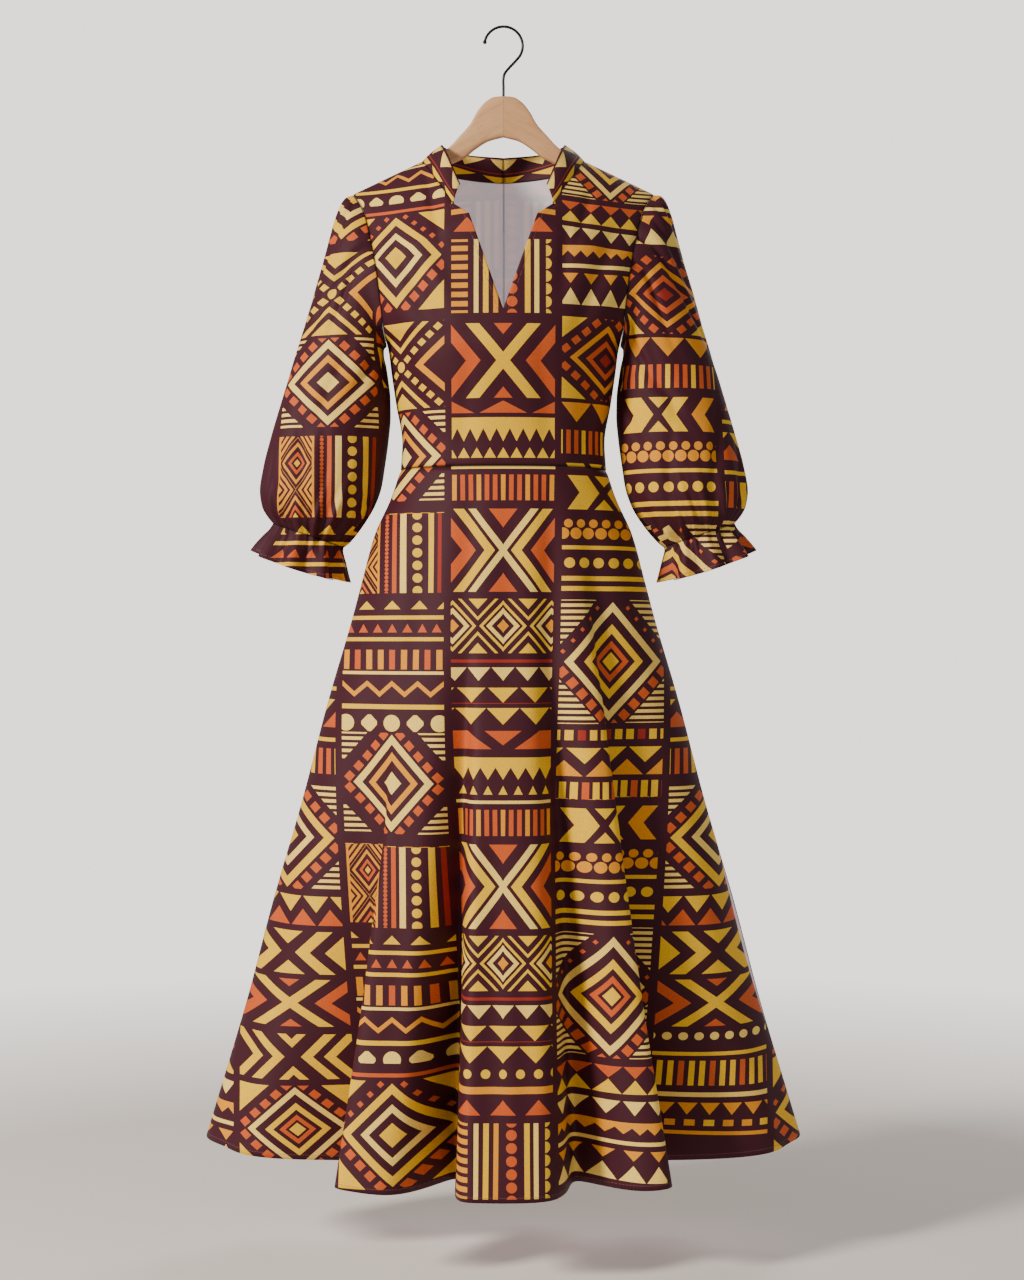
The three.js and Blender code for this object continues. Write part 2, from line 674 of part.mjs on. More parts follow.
// Wire hook: round the rail from its tip, then back to the middle and down to the bar
function hangerHook() {
  const centreZ = WIRE_DIAMETER / 2 - HOOK_RADIUS;
  const points = [];
  for (let angle = HOOK_TIP_ANGLE; angle > HOOK_STEM_ANGLE; angle -= 20) {
    const turn = THREE.MathUtils.degToRad(angle);
    const z = centreZ + HOOK_RADIUS * Math.sin(turn);
    points.push(new THREE.Vector3(HOOK_RADIUS * Math.cos(turn), 0, z));
  }
  const barTop = BAR_TOP[0].z + SEAM_GAP;
  points.push(new THREE.Vector3(3, 0, (centreZ - HOOK_RADIUS + STEM_TOP_Z) / 2));
  points.push(new THREE.Vector3(0, 0, STEM_TOP_Z));
  points.push(new THREE.Vector3(0, 0, (STEM_TOP_Z + barTop) / 2));
  points.push(new THREE.Vector3(0, 0, barTop));
  const section = new THREE.Shape();
  for (let n = 0; n < WIRE_SIDES; n += 1) {
    const turn = (2 * Math.PI * n) / WIRE_SIDES;
    const x = (WIRE_DIAMETER / 2) * Math.cos(turn);
    const y = (WIRE_DIAMETER / 2) * Math.sin(turn);
    if (n === 0) section.moveTo(x, y);
    else section.lineTo(x, y);
  }
  const geometry = new THREE.ExtrudeGeometry(section, {
    steps: WIRE_STEPS,
    extrudePath: new THREE.CatmullRomCurve3(points, false, 'centripetal'),
  });
  const mesh = new THREE.Mesh(geometry, new THREE.MeshStandardMaterial(WIRE));
  mesh.name = 'hanger_hook';
  return mesh;
}

const dress = new THREE.Group();

const bodiceFront = new Sheet();
const halves = { left: bodiceSide(-1, bodiceFront), right: bodiceSide(1, bodiceFront) };
for (const faces of Object.values(halves)) {
  faces.front.normals = faces.front.sheet.normals();
  faces.back.normals = faces.back.sheet.normals();
}
dress.add(clothMesh('bodice_front', bodiceFront));
for (const [name, side] of [['left', -1], ['right', 1]]) {
  const faces = halves[name];
  dress.add(clothMesh(`bodice_back_${name}`, faces.back.sheet));
  dress.add(clothMesh(`collar_${name}`, collarSheet(faces, side)));
  dress.add(clothMesh(`sleeve_${name}`, sleeveSheet(faces, side)));
  dress.add(clothMesh(`flounce_${name}`, flounceSheet(side)));
}
const waistRow = (face) => halves.right[face].grid[ARMHOLE_STEPS + SIDE_STEPS];
dress.add(clothMesh('skirt_front', skirtSheet(waistRow('front'), 'front', FRONT_FOLDS)));
dress.add(clothMesh('skirt_back', skirtSheet(waistRow('back'), 'back', BACK_FOLDS)));
dress.add(hangerBar());
dress.add(hangerHook());

export default dress;
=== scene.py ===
# A printed cotton maxi dress with gathered puff sleeves, hanging on a wooden hanger.
# Metres, +Z up; the front of the dress faces -Y and the hook's top is the origin. Left and
# right are as seen from the front.

import math

import bmesh
import bpy
import numpy as np
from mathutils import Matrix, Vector


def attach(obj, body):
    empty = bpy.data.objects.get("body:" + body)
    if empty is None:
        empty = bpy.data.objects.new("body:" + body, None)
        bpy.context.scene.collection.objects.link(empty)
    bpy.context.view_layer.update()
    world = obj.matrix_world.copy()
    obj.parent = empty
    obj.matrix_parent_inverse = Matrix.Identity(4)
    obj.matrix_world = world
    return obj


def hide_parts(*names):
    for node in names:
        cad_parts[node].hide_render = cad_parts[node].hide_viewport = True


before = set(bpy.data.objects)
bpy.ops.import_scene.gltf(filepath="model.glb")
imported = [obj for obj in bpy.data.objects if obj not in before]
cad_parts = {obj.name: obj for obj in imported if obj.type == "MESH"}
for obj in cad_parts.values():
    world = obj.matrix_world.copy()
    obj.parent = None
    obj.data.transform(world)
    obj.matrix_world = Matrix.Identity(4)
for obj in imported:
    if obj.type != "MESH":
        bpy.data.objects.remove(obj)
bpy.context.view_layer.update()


# Bodice front. One piece of printed cotton cut on the fold, from the shoulder seams to the
# waist seam, with a V neck and a notch where the stand collar ends. Its edges are turned in
# and stitched, and it is sewn to the back along the shoulders and the sides.

WAIST_Z = -0.575
UNDERARM_Z = -0.415
NECK_POINT = (0.105, -0.174)
SHOULDER_POINT = (0.195, -0.217)
NOTCH_OUTER = (0.063, -0.243)
NOTCH_INNER = (0.043, -0.258)
V_POINT_Z = -0.381
SEAM_LINE = 0.00002
SEAM_TUCK = 0.0014
SEAM_TUCK_WIDTH = 0.0035
SECTION_POWER = 2.2
SHOULDER_ROUND_DROP = 0.120
SHOULDER_ROUND_POWER = 0.55
CLOTH_THICKNESS = 0.0009

# A half bodice in steps: along the collar, to the notch's inner corner, to the underarm
# and to the waist
COLLAR_END = 6
NOTCH_END = 8
ARMHOLE_END = 18
WAIST_ROW = 27
BODICE_ROWS_PER_STEP = 4
BODICE_COLUMNS = 72
FAR = 1.0


def table(names, *rows):
    """The named columns of a short table."""
    return dict(zip(names.split(), np.array(rows, dtype=float).T))


TORSO = table(
    "z half_width front back",
    (-0.174, 0.212, 0.086, 0.070),
    (-0.217, 0.215, 0.097, 0.084),
    (-0.270, 0.208, 0.107, 0.092),
    (-0.320, 0.199, 0.114, 0.095),
    (-0.372, 0.180, 0.122, 0.094),
    (-0.400, 0.163, 0.124, 0.092),
    (-0.415, 0.150, 0.124, 0.091),
    (-0.450, 0.145, 0.116, 0.087),
    (-0.490, 0.139, 0.102, 0.082),
    (-0.540, 0.131, 0.090, 0.077),
    (-0.575, 0.133, 0.086, 0.076),
)
ARMHOLE = table(
    "z front back",
    (-0.217, 0.195, 0.195),
    (-0.243, 0.180, 0.184),
    (-0.285, 0.169, 0.175),
    (-0.320, 0.162, 0.169),
    (-0.372, 0.1555, 0.160),
    (-0.400, 0.1525, 0.154),
    (-0.415, 0.150, 0.150),
)


def follow(rows, key, column, at):
    """A column's value at any key: smooth, and never past the rows on either side."""
    order = np.argsort(rows[key])
    keys = rows[key][order]
    values = rows[column][order]
    slopes = np.diff(values) / np.diff(keys)
    tangents = np.empty_like(values)
    tangents[0] = slopes[0]
    tangents[-1] = slopes[-1]
    product = slopes[:-1] * slopes[1:]
    total = slopes[:-1] + slopes[1:]
    safe = np.where(np.abs(total) > 1e-12, total, 1.0)
    tangents[1:-1] = np.where(product > 0, 2 * product / safe, 0.0)
    at = np.clip(at, keys[0], keys[-1])
    low = np.clip(np.searchsorted(keys, at, side="right") - 1, 0, len(keys) - 2)
    span = keys[low + 1] - keys[low]
    t = (at - keys[low]) / span
    bend = t * t * (3 - 2 * t)
    start = t * (1 - t) ** 2 * span * tangents[low]
    end = t * t * (1 - t) * span * tangents[low + 1]
    return values[low] + (values[low + 1] - values[low]) * bend + start - end


def shoulder_line(x):
    slope = (SHOULDER_POINT[1] - NECK_POINT[1]) / (SHOULDER_POINT[0] - NECK_POINT[0])
    return NECK_POINT[1] + slope * (np.abs(x) - NECK_POINT[0])


def shoulder_rounding(x, z):
    """0 on the shoulder seam, and 1 where the torso has its full depth."""
    drop = np.clip(shoulder_line(x) - z, 0, SHOULDER_ROUND_DROP) / SHOULDER_ROUND_DROP
    return drop**SHOULDER_ROUND_POWER


def torso_full_depth(x, z, face):
    share = np.clip(np.abs(x) / follow(TORSO, "z", "half_width", z), 0, 1)
    section = (1 - share**SECTION_POWER) ** (1 / SECTION_POWER)
    return follow(TORSO, "z", face, z) * section


def torso_depth(x, z, face):
    return torso_full_depth(x, z, face) * shoulder_rounding(x, z)


def between(start, end, share):
    """Points (x, z) at each share of the way."""
    return (
        start[0] + (end[0] - start[0]) * share,
        start[1] + (end[1] - start[1]) * share,
    )


def armhole_height(step):
    return SHOULDER_POINT[1] + (UNDERARM_Z - SHOULDER_POINT[1]) * (
        1 - np.cos(math.pi * step / ARMHOLE_END)
    ) / 2


def bodice_outer_end(step, face):
    """The armhole seam, then the side seam."""
    armhole_z = armhole_height(np.minimum(step, ARMHOLE_END))
    below = np.clip((step - ARMHOLE_END) / (WAIST_ROW - ARMHOLE_END), 0, 1)
    side_z = UNDERARM_Z + (WAIST_Z - UNDERARM_Z) * below
    x = np.where(
        step <= ARMHOLE_END,
        follow(ARMHOLE, "z", face, armhole_z),
        follow(TORSO, "z", "half_width", side_z),
    )
    return x, np.where(step <= ARMHOLE_END, armhole_z, side_z)


def front_inner_end(step):
    """The collar seam, the ledge of the notch, the V neck, then the centre line."""
    stretches = (
        (0, COLLAR_END, NECK_POINT, NOTCH_OUTER, 1.4),
        (COLLAR_END, NOTCH_END, NOTCH_OUTER, NOTCH_INNER, 1),
        (NOTCH_END, ARMHOLE_END, NOTCH_INNER, (0, V_POINT_Z), 1),
        (ARMHOLE_END, WAIST_ROW, (0, V_POINT_Z), (0, WAIST_Z), 1),
    )
    x = np.zeros_like(step)
    z = np.zeros_like(step)
    for first, last, start, end, power in stretches:
        here = (step >= first) & (step <= last)
        share = np.clip((step - first) / (last - first), 0, 1) ** power
        place = between(start, end, share)
        x = np.where(here, place[0], x)
        z = np.where(here, place[1], z)
    return x, z


def crease_depth(x, z, creases):
    """How far soft troughs reach in at places seen from the front: each runs between two
    points, and fades towards its ends and its sides."""
    depth = np.zeros(np.broadcast_shapes(np.shape(x), np.shape(z)))
    for x0, z0, x1, z1, width, reach in creases:
        length = math.hypot(x1 - x0, z1 - z0)
        along_x = (x1 - x0) / length
        along_z = (z1 - z0) / length
        run = ((x - x0) * along_x + (z - z0) * along_z) / length
        off = (x - x0) * along_z - (z - z0) * along_x
        fade = np.clip(1 - (2 * run - 1) ** 2, 0, 1)
        depth += reach * fade * np.exp(-((off / width) ** 2))
    return depth


# Soft creases: start x and z, end x and z, half width, reach in (out where it is negative)
FRONT_CREASES = (
    (-0.150, -0.250, -0.075, -0.440, 0.013, 0.0052),
    (-0.140, -0.240, -0.050, -0.410, 0.014, -0.0035),
    (0.150, -0.255, 0.085, -0.430, 0.013, 0.0058),
    (0.168, -0.330, 0.105, -0.490, 0.011, 0.0048),
    (-0.160, -0.340, -0.100, -0.510, 0.011, 0.0048),
    (-0.120, -0.430, -0.090, -0.585, 0.010, 0.0040),
    (0.120, -0.420, 0.095, -0.585, 0.011, 0.0046),
    (-0.040, -0.400, -0.055, -0.590, 0.012, 0.0022),
    (0.045, -0.390, 0.062, -0.590, 0.013, 0.0026),
    (-0.104, -0.180, -0.078, -0.300, 0.007, 0.0038),
    (-0.088, -0.190, -0.068, -0.260, 0.006, -0.0022),
    (0.118, -0.200, 0.088, -0.310, 0.007, 0.0034),
    (0.083, -0.250, 0.072, -0.370, 0.009, 0.0034),
)
BACK_CREASES = (
    (-0.150, -0.260, -0.070, -0.430, 0.013, 0.0045),
    (0.150, -0.250, 0.075, -0.410, 0.013, 0.0050),
    (-0.110, -0.420, -0.085, -0.585, 0.010, 0.0038),
    (0.115, -0.430, 0.090, -0.585, 0.011, 0.0040),
    (0.045, -0.430, 0.055, -0.585, 0.011, 0.0022),
    (-0.060, -0.400, -0.050, -0.580, 0.012, 0.0020),
)

# Where on the cloth each piece is cut: how far down the print its waist lies
PRINT_WRAP = 0.35
BODICE_PRINT_DOWN = 1.1123
BACK_PRINT_DOWN = 1.2003
SHOULDER_PRINT_SHARE = 0.5


def print_across(share, half_width):
    """Where the print runs across a rounded piece: straight on in the middle, and wrapped
    round towards the sides."""
    turn = np.arcsin(np.clip(share, -1, 1))
    return half_width * (share * (1 - PRINT_WRAP) + turn * PRINT_WRAP)


def layers(*parts):
    return np.stack(np.broadcast_arrays(*parts), axis=-1)


def bodice_half(face, side, inner_end, creases, print_down):
    """Half a bodice from the shoulder down and from the inner end out: its points, its
    place on the print, and the distances to its seams and to its finished edges."""
    steps = np.linspace(0, WAIST_ROW, WAIST_ROW * BODICE_ROWS_PER_STEP + 1)[:, None]
    share = np.linspace(0, 1, BODICE_COLUMNS + 1)[None, :]
    ramp = np.clip((steps - ARMHOLE_END / 2) / (ARMHOLE_END / 2), 0, 1)
    turn = ramp * ramp * (3 - 2 * ramp)
    spread = share + (np.sin(math.pi / 2 * share) - share) * turn
    inner = inner_end(steps)
    outer = bodice_outer_end(steps, face)
    x, z = between(inner, outer, spread)
    full = torso_full_depth(x, z, face)
    smooth = torso_depth(x, z, face)
    from_inner = np.hypot(x - inner[0], z - inner[1])
    edge = np.minimum(np.hypot(x - outer[0], z - outer[1]), z - WAIST_Z)
    dip = crease_depth(side * x, z, creases) * np.clip(edge / 0.012, 0, 1)
    tuck = SEAM_TUCK * np.exp(-((edge / SEAM_TUCK_WIDTH) ** 2))
    depth = np.maximum(smooth - dip - tuck, SEAM_LINE)
    half_width = follow(TORSO, "z", "half_width", z)
    across = print_across(side * x / half_width, half_width)
    down = WAIST_Z - z - SHOULDER_PRINT_SHARE * (full - smooth) + print_down
    seam = np.minimum(edge, shoulder_line(x) - z)
    if face == "front":
        facing = -1
        seam = np.where(steps <= COLLAR_END, np.minimum(seam, from_inner), seam)
        finished = (steps >= COLLAR_END) & (steps <= ARMHOLE_END)
        hem = np.where(finished, from_inner, FAR)
    else:
        facing = 1
        seam = np.minimum(seam, from_inner)
        hem = FAR
    return layers(side * x, facing * depth, z), layers(across, down, seam, hem)


def cloth_mesh(name, patches):
    """A piece of cloth from grids of points, listed from the top down, each with its place
    on the print and its distances to seams and edges. Turned grids run the other way
    round. Points that meet are joined."""
    points = []
    faces = []
    corners = []
    for grid, places, turned in patches:
        rows, columns = grid.shape[:2]
        first = sum(len(part) for part in points)
        points.append(grid.reshape(-1, 3))
        number = np.arange(rows * columns).reshape(rows, columns)
        quads = np.stack(
            [number[:-1, :-1], number[1:, :-1], number[1:, 1:], number[:-1, 1:]], axis=-1
        ).reshape(-1, 4)
        if turned:
            quads = quads[:, ::-1]
        faces.append(quads + first)
        corners.append(places.reshape(-1, 4)[quads].reshape(-1, 4))
    mesh = bpy.data.meshes.new(name)
    mesh.from_pydata(np.concatenate(points).tolist(), [], np.concatenate(faces).tolist())
    corners = np.concatenate(corners)
    mesh.uv_layers.new(name="print").data.foreach_set("uv", corners[:, :2].ravel())
    mesh.uv_layers.new(name="edges").data.foreach_set("uv", corners[:, 2:].ravel())
    mesh.polygons.foreach_set("use_smooth", [True] * len(mesh.polygons))
    shape = bmesh.new()
    shape.from_mesh(mesh)
    bmesh.ops.remove_doubles(shape, verts=shape.verts, dist=0.00001)
    shape.to_mesh(mesh)
    shape.free()
    piece = bpy.data.objects.new(name, mesh)
    bpy.context.scene.collection.objects.link(piece)
    return piece


class Shade:
    """A shader value. Python's operators on it add Math nodes to its material."""

    def __init__(self, tree, socket):
        self.tree = tree
        self.socket = socket

    def node(self, kind, settings=None, inputs=None, output=0):
        """Any other node: its type, its settings, and the values or links of its sockets."""
        made = self.tree.nodes.new(kind)
        for name, value in (settings or {}).items():
            if name == "stops":
                set_stops(made.color_ramp, value)
            else:
                setattr(made, name, value)
        for name, value in (inputs or {}).items():
            if isinstance(value, Shade):
                self.tree.links.new(value.socket, made.inputs[name])
            else:
                made.inputs[name].default_value = value
        return Shade(self.tree, made.outputs[output])

    def math(self, operation, first, second=0.0):
        return self.node("ShaderNodeMath", {"operation": operation}, {0: first, 1: second})

    def axes(self):
        """The parts of a vector."""
        split = self.node("ShaderNodeSeparateXYZ", inputs={0: self}).socket.node
        return [Shade(self.tree, socket) for socket in split.outputs]

    def feed(self, shader, name):
        """Links the value to a socket of a shader node."""
        self.tree.links.new(self.socket, shader.inputs[name])

    def __add__(self, other):
        return self.math("ADD", self, other)

    def __radd__(self, other):
        return self.math("ADD", other, self)

    def __sub__(self, other):
        return self.math("SUBTRACT", self, other)

    def __rsub__(self, other):
        return self.math("SUBTRACT", other, self)

    def __mul__(self, other):
        return self.math("MULTIPLY", self, other)

    def __rmul__(self, other):
        return self.math("MULTIPLY", other, self)

    def __truediv__(self, other):
        return self.math("DIVIDE", self, other)

    def __mod__(self, other):
        return self.math("FLOORED_MODULO", self, other)

    def __lt__(self, other):
        return self.math("LESS_THAN", self, other)

    def __gt__(self, other):
        return self.math("GREATER_THAN", self, other)

    def __abs__(self):
        return self.math("ABSOLUTE", self)

    def floor(self):
        return self.math("FLOOR", self)

    def most(self, other):
        return self.math("MAXIMUM", self, other)

    def least(self, other):
        return self.math("MINIMUM", self, other)


def set_stops(ramp, stops):
    """Gives a colour ramp its stops, held flat between them."""
    ramp.interpolation = "CONSTANT"
    while len(ramp.elements) > 1:
        ramp.elements.remove(ramp.elements[-1])
    for n, (position, colour) in enumerate(stops):
        stop = ramp.elements[0] if n == 0 else ramp.elements.new(position)
        stop.position = position
        stop.color = (*colour, 1)


def linear(red, green, blue):
    """A colour given as it looks on screen, 0 to 255."""
    return tuple(
        (c / 255 / 12.92) if c <= 10 else ((c / 255 + 0.055) / 1.055) ** 2.4
        for c in (red, green, blue)
    )


def new_material(name, roughness):
    """A material, its shader node, and a first value to build from."""
    material = bpy.data.materials.new(name)
    material.use_nodes = True
    tree = material.node_tree
    shader = tree.nodes["Principled BSDF"]
    shader.inputs["Roughness"].default_value = roughness
    return material, shader, Shade(tree, None)


def mix(start, factor, first, second, blend="MIX"):
    """Two colours mixed. Each is a value of the shader, or red, green and blue."""
    first, second = (c if isinstance(c, Shade) else (*c, 1) for c in (first, second))
    settings = {"data_type": "RGBA", "blend_type": blend}
    return start.node("ShaderNodeMix", settings, {0: factor, 6: first, 7: second}, output=2)


# The print is set in upright columns of bands, each filled by a motif, which takes the place
# in its column and band and the band's height. Inks are numbered from the ground colour up.
PLUM = linear(62, 18, 34)
CREAM = linear(255, 224, 112)
YELLOW = linear(244, 198, 32)
OCHRE = linear(232, 156, 26)
ORANGE = linear(206, 92, 36)
RUST = linear(154, 42, 28)
WRONG_SIDE = linear(246, 240, 246)
THREAD = linear(120, 74, 70)
INKS = (PLUM, CREAM, YELLOW, OCHRE, ORANGE, RUST)
CREAM_INK = 1
YELLOW_INK = 2
OCHRE_INK = 3
ORANGE_INK = 4
RUST_INK = 5
INK_LEVELS = 8
COLUMN_WIDTH = 0.141
PANEL_HALF = 0.0660
REPEAT = 0.4254
# From here down the columns have other bands, the outer left one a little sooner
SECOND_PART = 0.7587
SECOND_PART_KEY = 10.0
OUTER_LEFT_SOONER = 0.0287
# Moves the outer right column's change so far down that it never comes
PAST_THE_HEM = 1.0
# How far down the inner left column's repeat starts
LEFT_DOWN = 0.060


def cell(value, period):
    """Distance from the middle of the nearest cell of a row. One cell is centred on 0."""
    return abs((value / period + 0.5) % 1.0 - 0.5) * period


def inside(value, low, high):
    return (value > low) * (value < high)


def stripe(x, middle, half, ink):
    return (abs(x - middle) < half) * ink


def dot_line(x, y, middle, period, radius, ink):
    """An upright line of dots."""
    away = x - middle
    step = cell(y, period)
    return (away * away + step * step < radius * radius) * ink


def bars(x, y, height, period, share, ink, other_ink):
    """Upright bars, every third in another ink."""
    third = ((x / period + 0.5).floor() % 3.0) < 0.5
    return (cell(x, period) < period * share / 2) * (ink + third * (other_ink - ink))


def triangles(x, y, height, period, share, ink, upwards):
    """A row of triangles that stand on the band's foot, or hang from its head."""
    from_tip = y + height / 2 if upwards else height / 2 - y
    return (cell(x, period) < from_tip * (period * share / 2 / height)) * ink


def sawtooth(x, y, height, period, ink):
    """A solid strip with teeth that hang from it."""
    tooth = (0.5 - cell(x, period) / period) * height * 1.1
    return (y < tooth - height * 0.05) * ink


def zigzag(x, y, height, period, thick, ink):
    wave = (cell(x, period) / period * 2 - 0.5) * (height - thick * 2)
    return (abs(y - wave) < thick) * ink


def dots(x, y, height, period, radius, ink):
    away = cell(x, period)
    return (away * away + y * y < radius * radius) * ink


def lozenges(x, y, height, period, radius, ink):
    """Discs and rounded lozenges by turns."""
    away = cell(x, period)
    disc = away * away + y * y < radius * radius
    odd = ((x / period + 0.5).floor() % 2.0) < 0.5
    corner = (away + abs(y)) * 0.84 < radius
    return disc * corner.most(odd) * ink


def line(x, y, height, ink):
    return ink


def cross(x, y, height, slope, stripes):
    """Stripes that lie along a saltire's arms, by how far they are beside the arms."""
    beside = abs(x) - abs(y) * slope
    ink = 0.0
    for low, high, stripe_ink in stripes:
        ink = ink + inside(beside, low, high) * stripe_ink
    return ink


def beaded_cross(x, y, height):
    """A saltire of square beads round a dot, with nested Vs and side chevrons."""
    wide = abs(x) * (height / 2 / PANEL_HALF)
    tall = abs(y)
    lean = abs(wide - tall)
    run = wide + tall
    beads = (lean < 0.0050) * (cell(run, 0.0185) < 0.0056) * (run > 0.0090) * YELLOW_INK
    centre = (x * x + y * y < 0.0066**2) * YELLOW_INK
    upper = tall - wide
    nested = (inside(upper, 0.0165, 0.0235) + (upper > 0.0330)) * YELLOW_INK
    beside = inside(wide - tall, 0.0190, 0.0290) * OCHRE_INK
    return beads + centre + nested + beside


def lattice(x, y, height):
    """Diamonds within diamonds that meet at crossing lines, with triangles between them."""
    away = cell(x, 0.0639) / 0.0319 + abs(y) / 0.0346
    lines = inside(away, 0.80, 0.94) + inside(away, 1.20, 1.33) + (away > 1.62)
    return lines * YELLOW_INK + inside(away, 0.46, 0.67) * CREAM_INK + (away < 0.25) * OCHRE_INK


def keystones(x, y, height):
    """A hanging triangle between two sloping blocks."""
    block = abs(x) > 0.0307 - y * 1.43
    wedge = abs(x) < 0.0085 - y * 1.27
    return block.most(wedge) * ORANGE_INK


def trellis_block(x, y, height):
    """A framed trellis, then a line of beads, upright stripes and dots."""
    u = x + 0.0415
    away = cell(u, 0.0486) + cell(y + 0.0170, 0.0680) * 0.70
    trellis = (
        (away < 0.0036) * YELLOW_INK
        + inside(away, 0.0066, 0.0104) * ORANGE_INK
        + inside(away, 0.0152, 0.0190) * OCHRE_INK
        + (away > 0.0230) * (cell(away, 0.0072) < 0.0020) * OCHRE_INK
    )
    frame_line = (abs(u) > 0.0215) * OCHRE_INK
    panel = (abs(u) < 0.0243) * trellis.most(frame_line)
    return (
        panel
        + dot_line(x, y, -0.0078, 0.0052, 0.0025, ORANGE_INK)
        + stripe(x, 0.0024, 0.0029, ORANGE_INK)
        + stripe(x, 0.0138, 0.0040, CREAM_INK)
        + dot_line(x, y, 0.0314, 0.0162, 0.0059, YELLOW_INK)
        + stripe(x, 0.0490, 0.0035, YELLOW_INK)
        + stripe(x, 0.0604, 0.0025, RUST_INK)
    )


def stripes_block(x, y, height):
    """Short bars at the left, then upright stripes, and dots and half dots."""
    rungs = (cell(y, 0.0118) < 0.0034) * inside(x, -0.0655, -0.0445) * OCHRE_INK
    return (
        rungs
        + stripe(x, -0.0339, 0.0029, CREAM_INK)
        + stripe(x, -0.0218, 0.0034, YELLOW_INK)
        + stripe(x, -0.0093, 0.0031, OCHRE_INK)
        + dot_line(x, y, 0.0111, 0.0163, 0.0067, ORANGE_INK)
        + stripe(x, 0.0307, 0.0035, YELLOW_INK)
        + stripe(x, 0.0422, 0.0030, CREAM_INK)
        + dot_line(x, y, 0.0540, 0.0163, 0.0072, YELLOW_INK) * (x > 0.0540)
    )


def diamond(x, y, height, half_width, half_height, rings, upper_beads, ruled_from):
    """A large diamond in rings, with beads along its sides, which may be smaller above,
    and ruled or solid corners."""
    away = abs(x) / half_width + abs(y) / half_height
    ink = (away < rings[0][1]) * rings[0][2]
    for low, high, ring_ink in rings[1:]:
        ink = ink + inside(away, low, high) * ring_ink
    size = (y > 0.0) * (1 - upper_beads) + upper_beads
    along = cell(abs(x) - abs(y), 0.0250)
    bead = (along < size * 0.0075) * (abs(away - 1.20) < size * 0.115)
    ink = ink + bead * ORANGE_INK
    if ruled_from:
        return ink + (away > ruled_from) * (cell(y, 0.0080) < 0.0021) * CREAM_INK
    return ink + (away > 1.55) * YELLOW_INK


def facing_triangles(x, y, height, period, ink, lower_ink):
    """A hanging row of triangles, and a standing row between its points."""
    half = height / 2
    slope = period * 0.46 / (half * 1.12)
    above = cell(x - 0.0045, period) < (half * 0.12 - y) * slope
    below = cell(x - 0.0045 + period / 2, period) < (y + half * 0.12) * slope
    return above * ink + below * lower_ink


def arrows(x, y, height, ink, last_ink):
    """A chevron that points right, two that point left, and triangles where they face."""
    rightward = inside(x + abs(y) * 0.7, -0.0440, -0.0185)
    leftward = inside(x - abs(y) * 0.7, -0.0076, 0.0107)
    last = inside(x - abs(y) * 0.7, 0.0304, 0.0477)
    wedges = abs(x + 0.0121) < (abs(y) - 0.0083) * 0.9
    return (rightward + leftward + wedges) * ink + last * last_ink


def bow_ties(x, y, height, ink):
    """Chevrons and end triangles that face each other across two upright wedges."""
    lean = abs(x) - abs(y)
    wedges = abs(x) < (abs(y) - 0.0107) * 1.1
    return (inside(lean, 0.0087, 0.0262) + (lean > 0.0440) + wedges) * ink


def twin_beads(x, y, height, ink):
    """Large beads, each with a small one above and beside it."""
    away = cell(x, 0.0162)
    beside = cell(x - 0.0065, 0.0162)
    low = y - 0.0058
    high = y + 0.0070
    large = away * away + low * low < 0.0073**2
    small = beside * beside + high * high < 0.0055**2
    return large.most(small) * ink


YELLOW_RINGS = ((0, 0.24, YELLOW_INK), (0.44, 0.60, CREAM_INK), (0.80, 1.0, YELLOW_INK))
CREAM_RINGS = ((0, 0.24, CREAM_INK), (0.47, 0.64, OCHRE_INK), (0.80, 1.0, CREAM_INK))
ORANGE_RINGS = (
    (0, 0.16, YELLOW_INK),
    (0.23, 0.35, ORANGE_INK),
    (0.47, 0.63, YELLOW_INK),
    (0.84, 1.0, CREAM_INK),
)
RUST_RINGS = ((0, 0.18, RUST_INK), (0.36, 0.52, ORANGE_INK), (0.72, 0.88, OCHRE_INK))
WOVEN_CROSS = (
    (-0.0800, -0.0215, ORANGE_INK),
    (-0.0050, 0.0050, CREAM_INK),
    (0.0105, 0.0235, YELLOW_INK),
    (0.0350, 0.0525, ORANGE_INK),
)
PLAIN_CROSS = (
    (-0.0800, -0.0270, ORANGE_INK),
    (-0.0085, 0.0085, YELLOW_INK),
    (0.0283, 0.0470, ORANGE_INK),
)
CHEVRONS = (
    (-0.0210, -0.0110, YELLOW_INK),
    (0.0090, 0.0220, YELLOW_INK),
    (0.0340, 0.0470, YELLOW_INK),
)


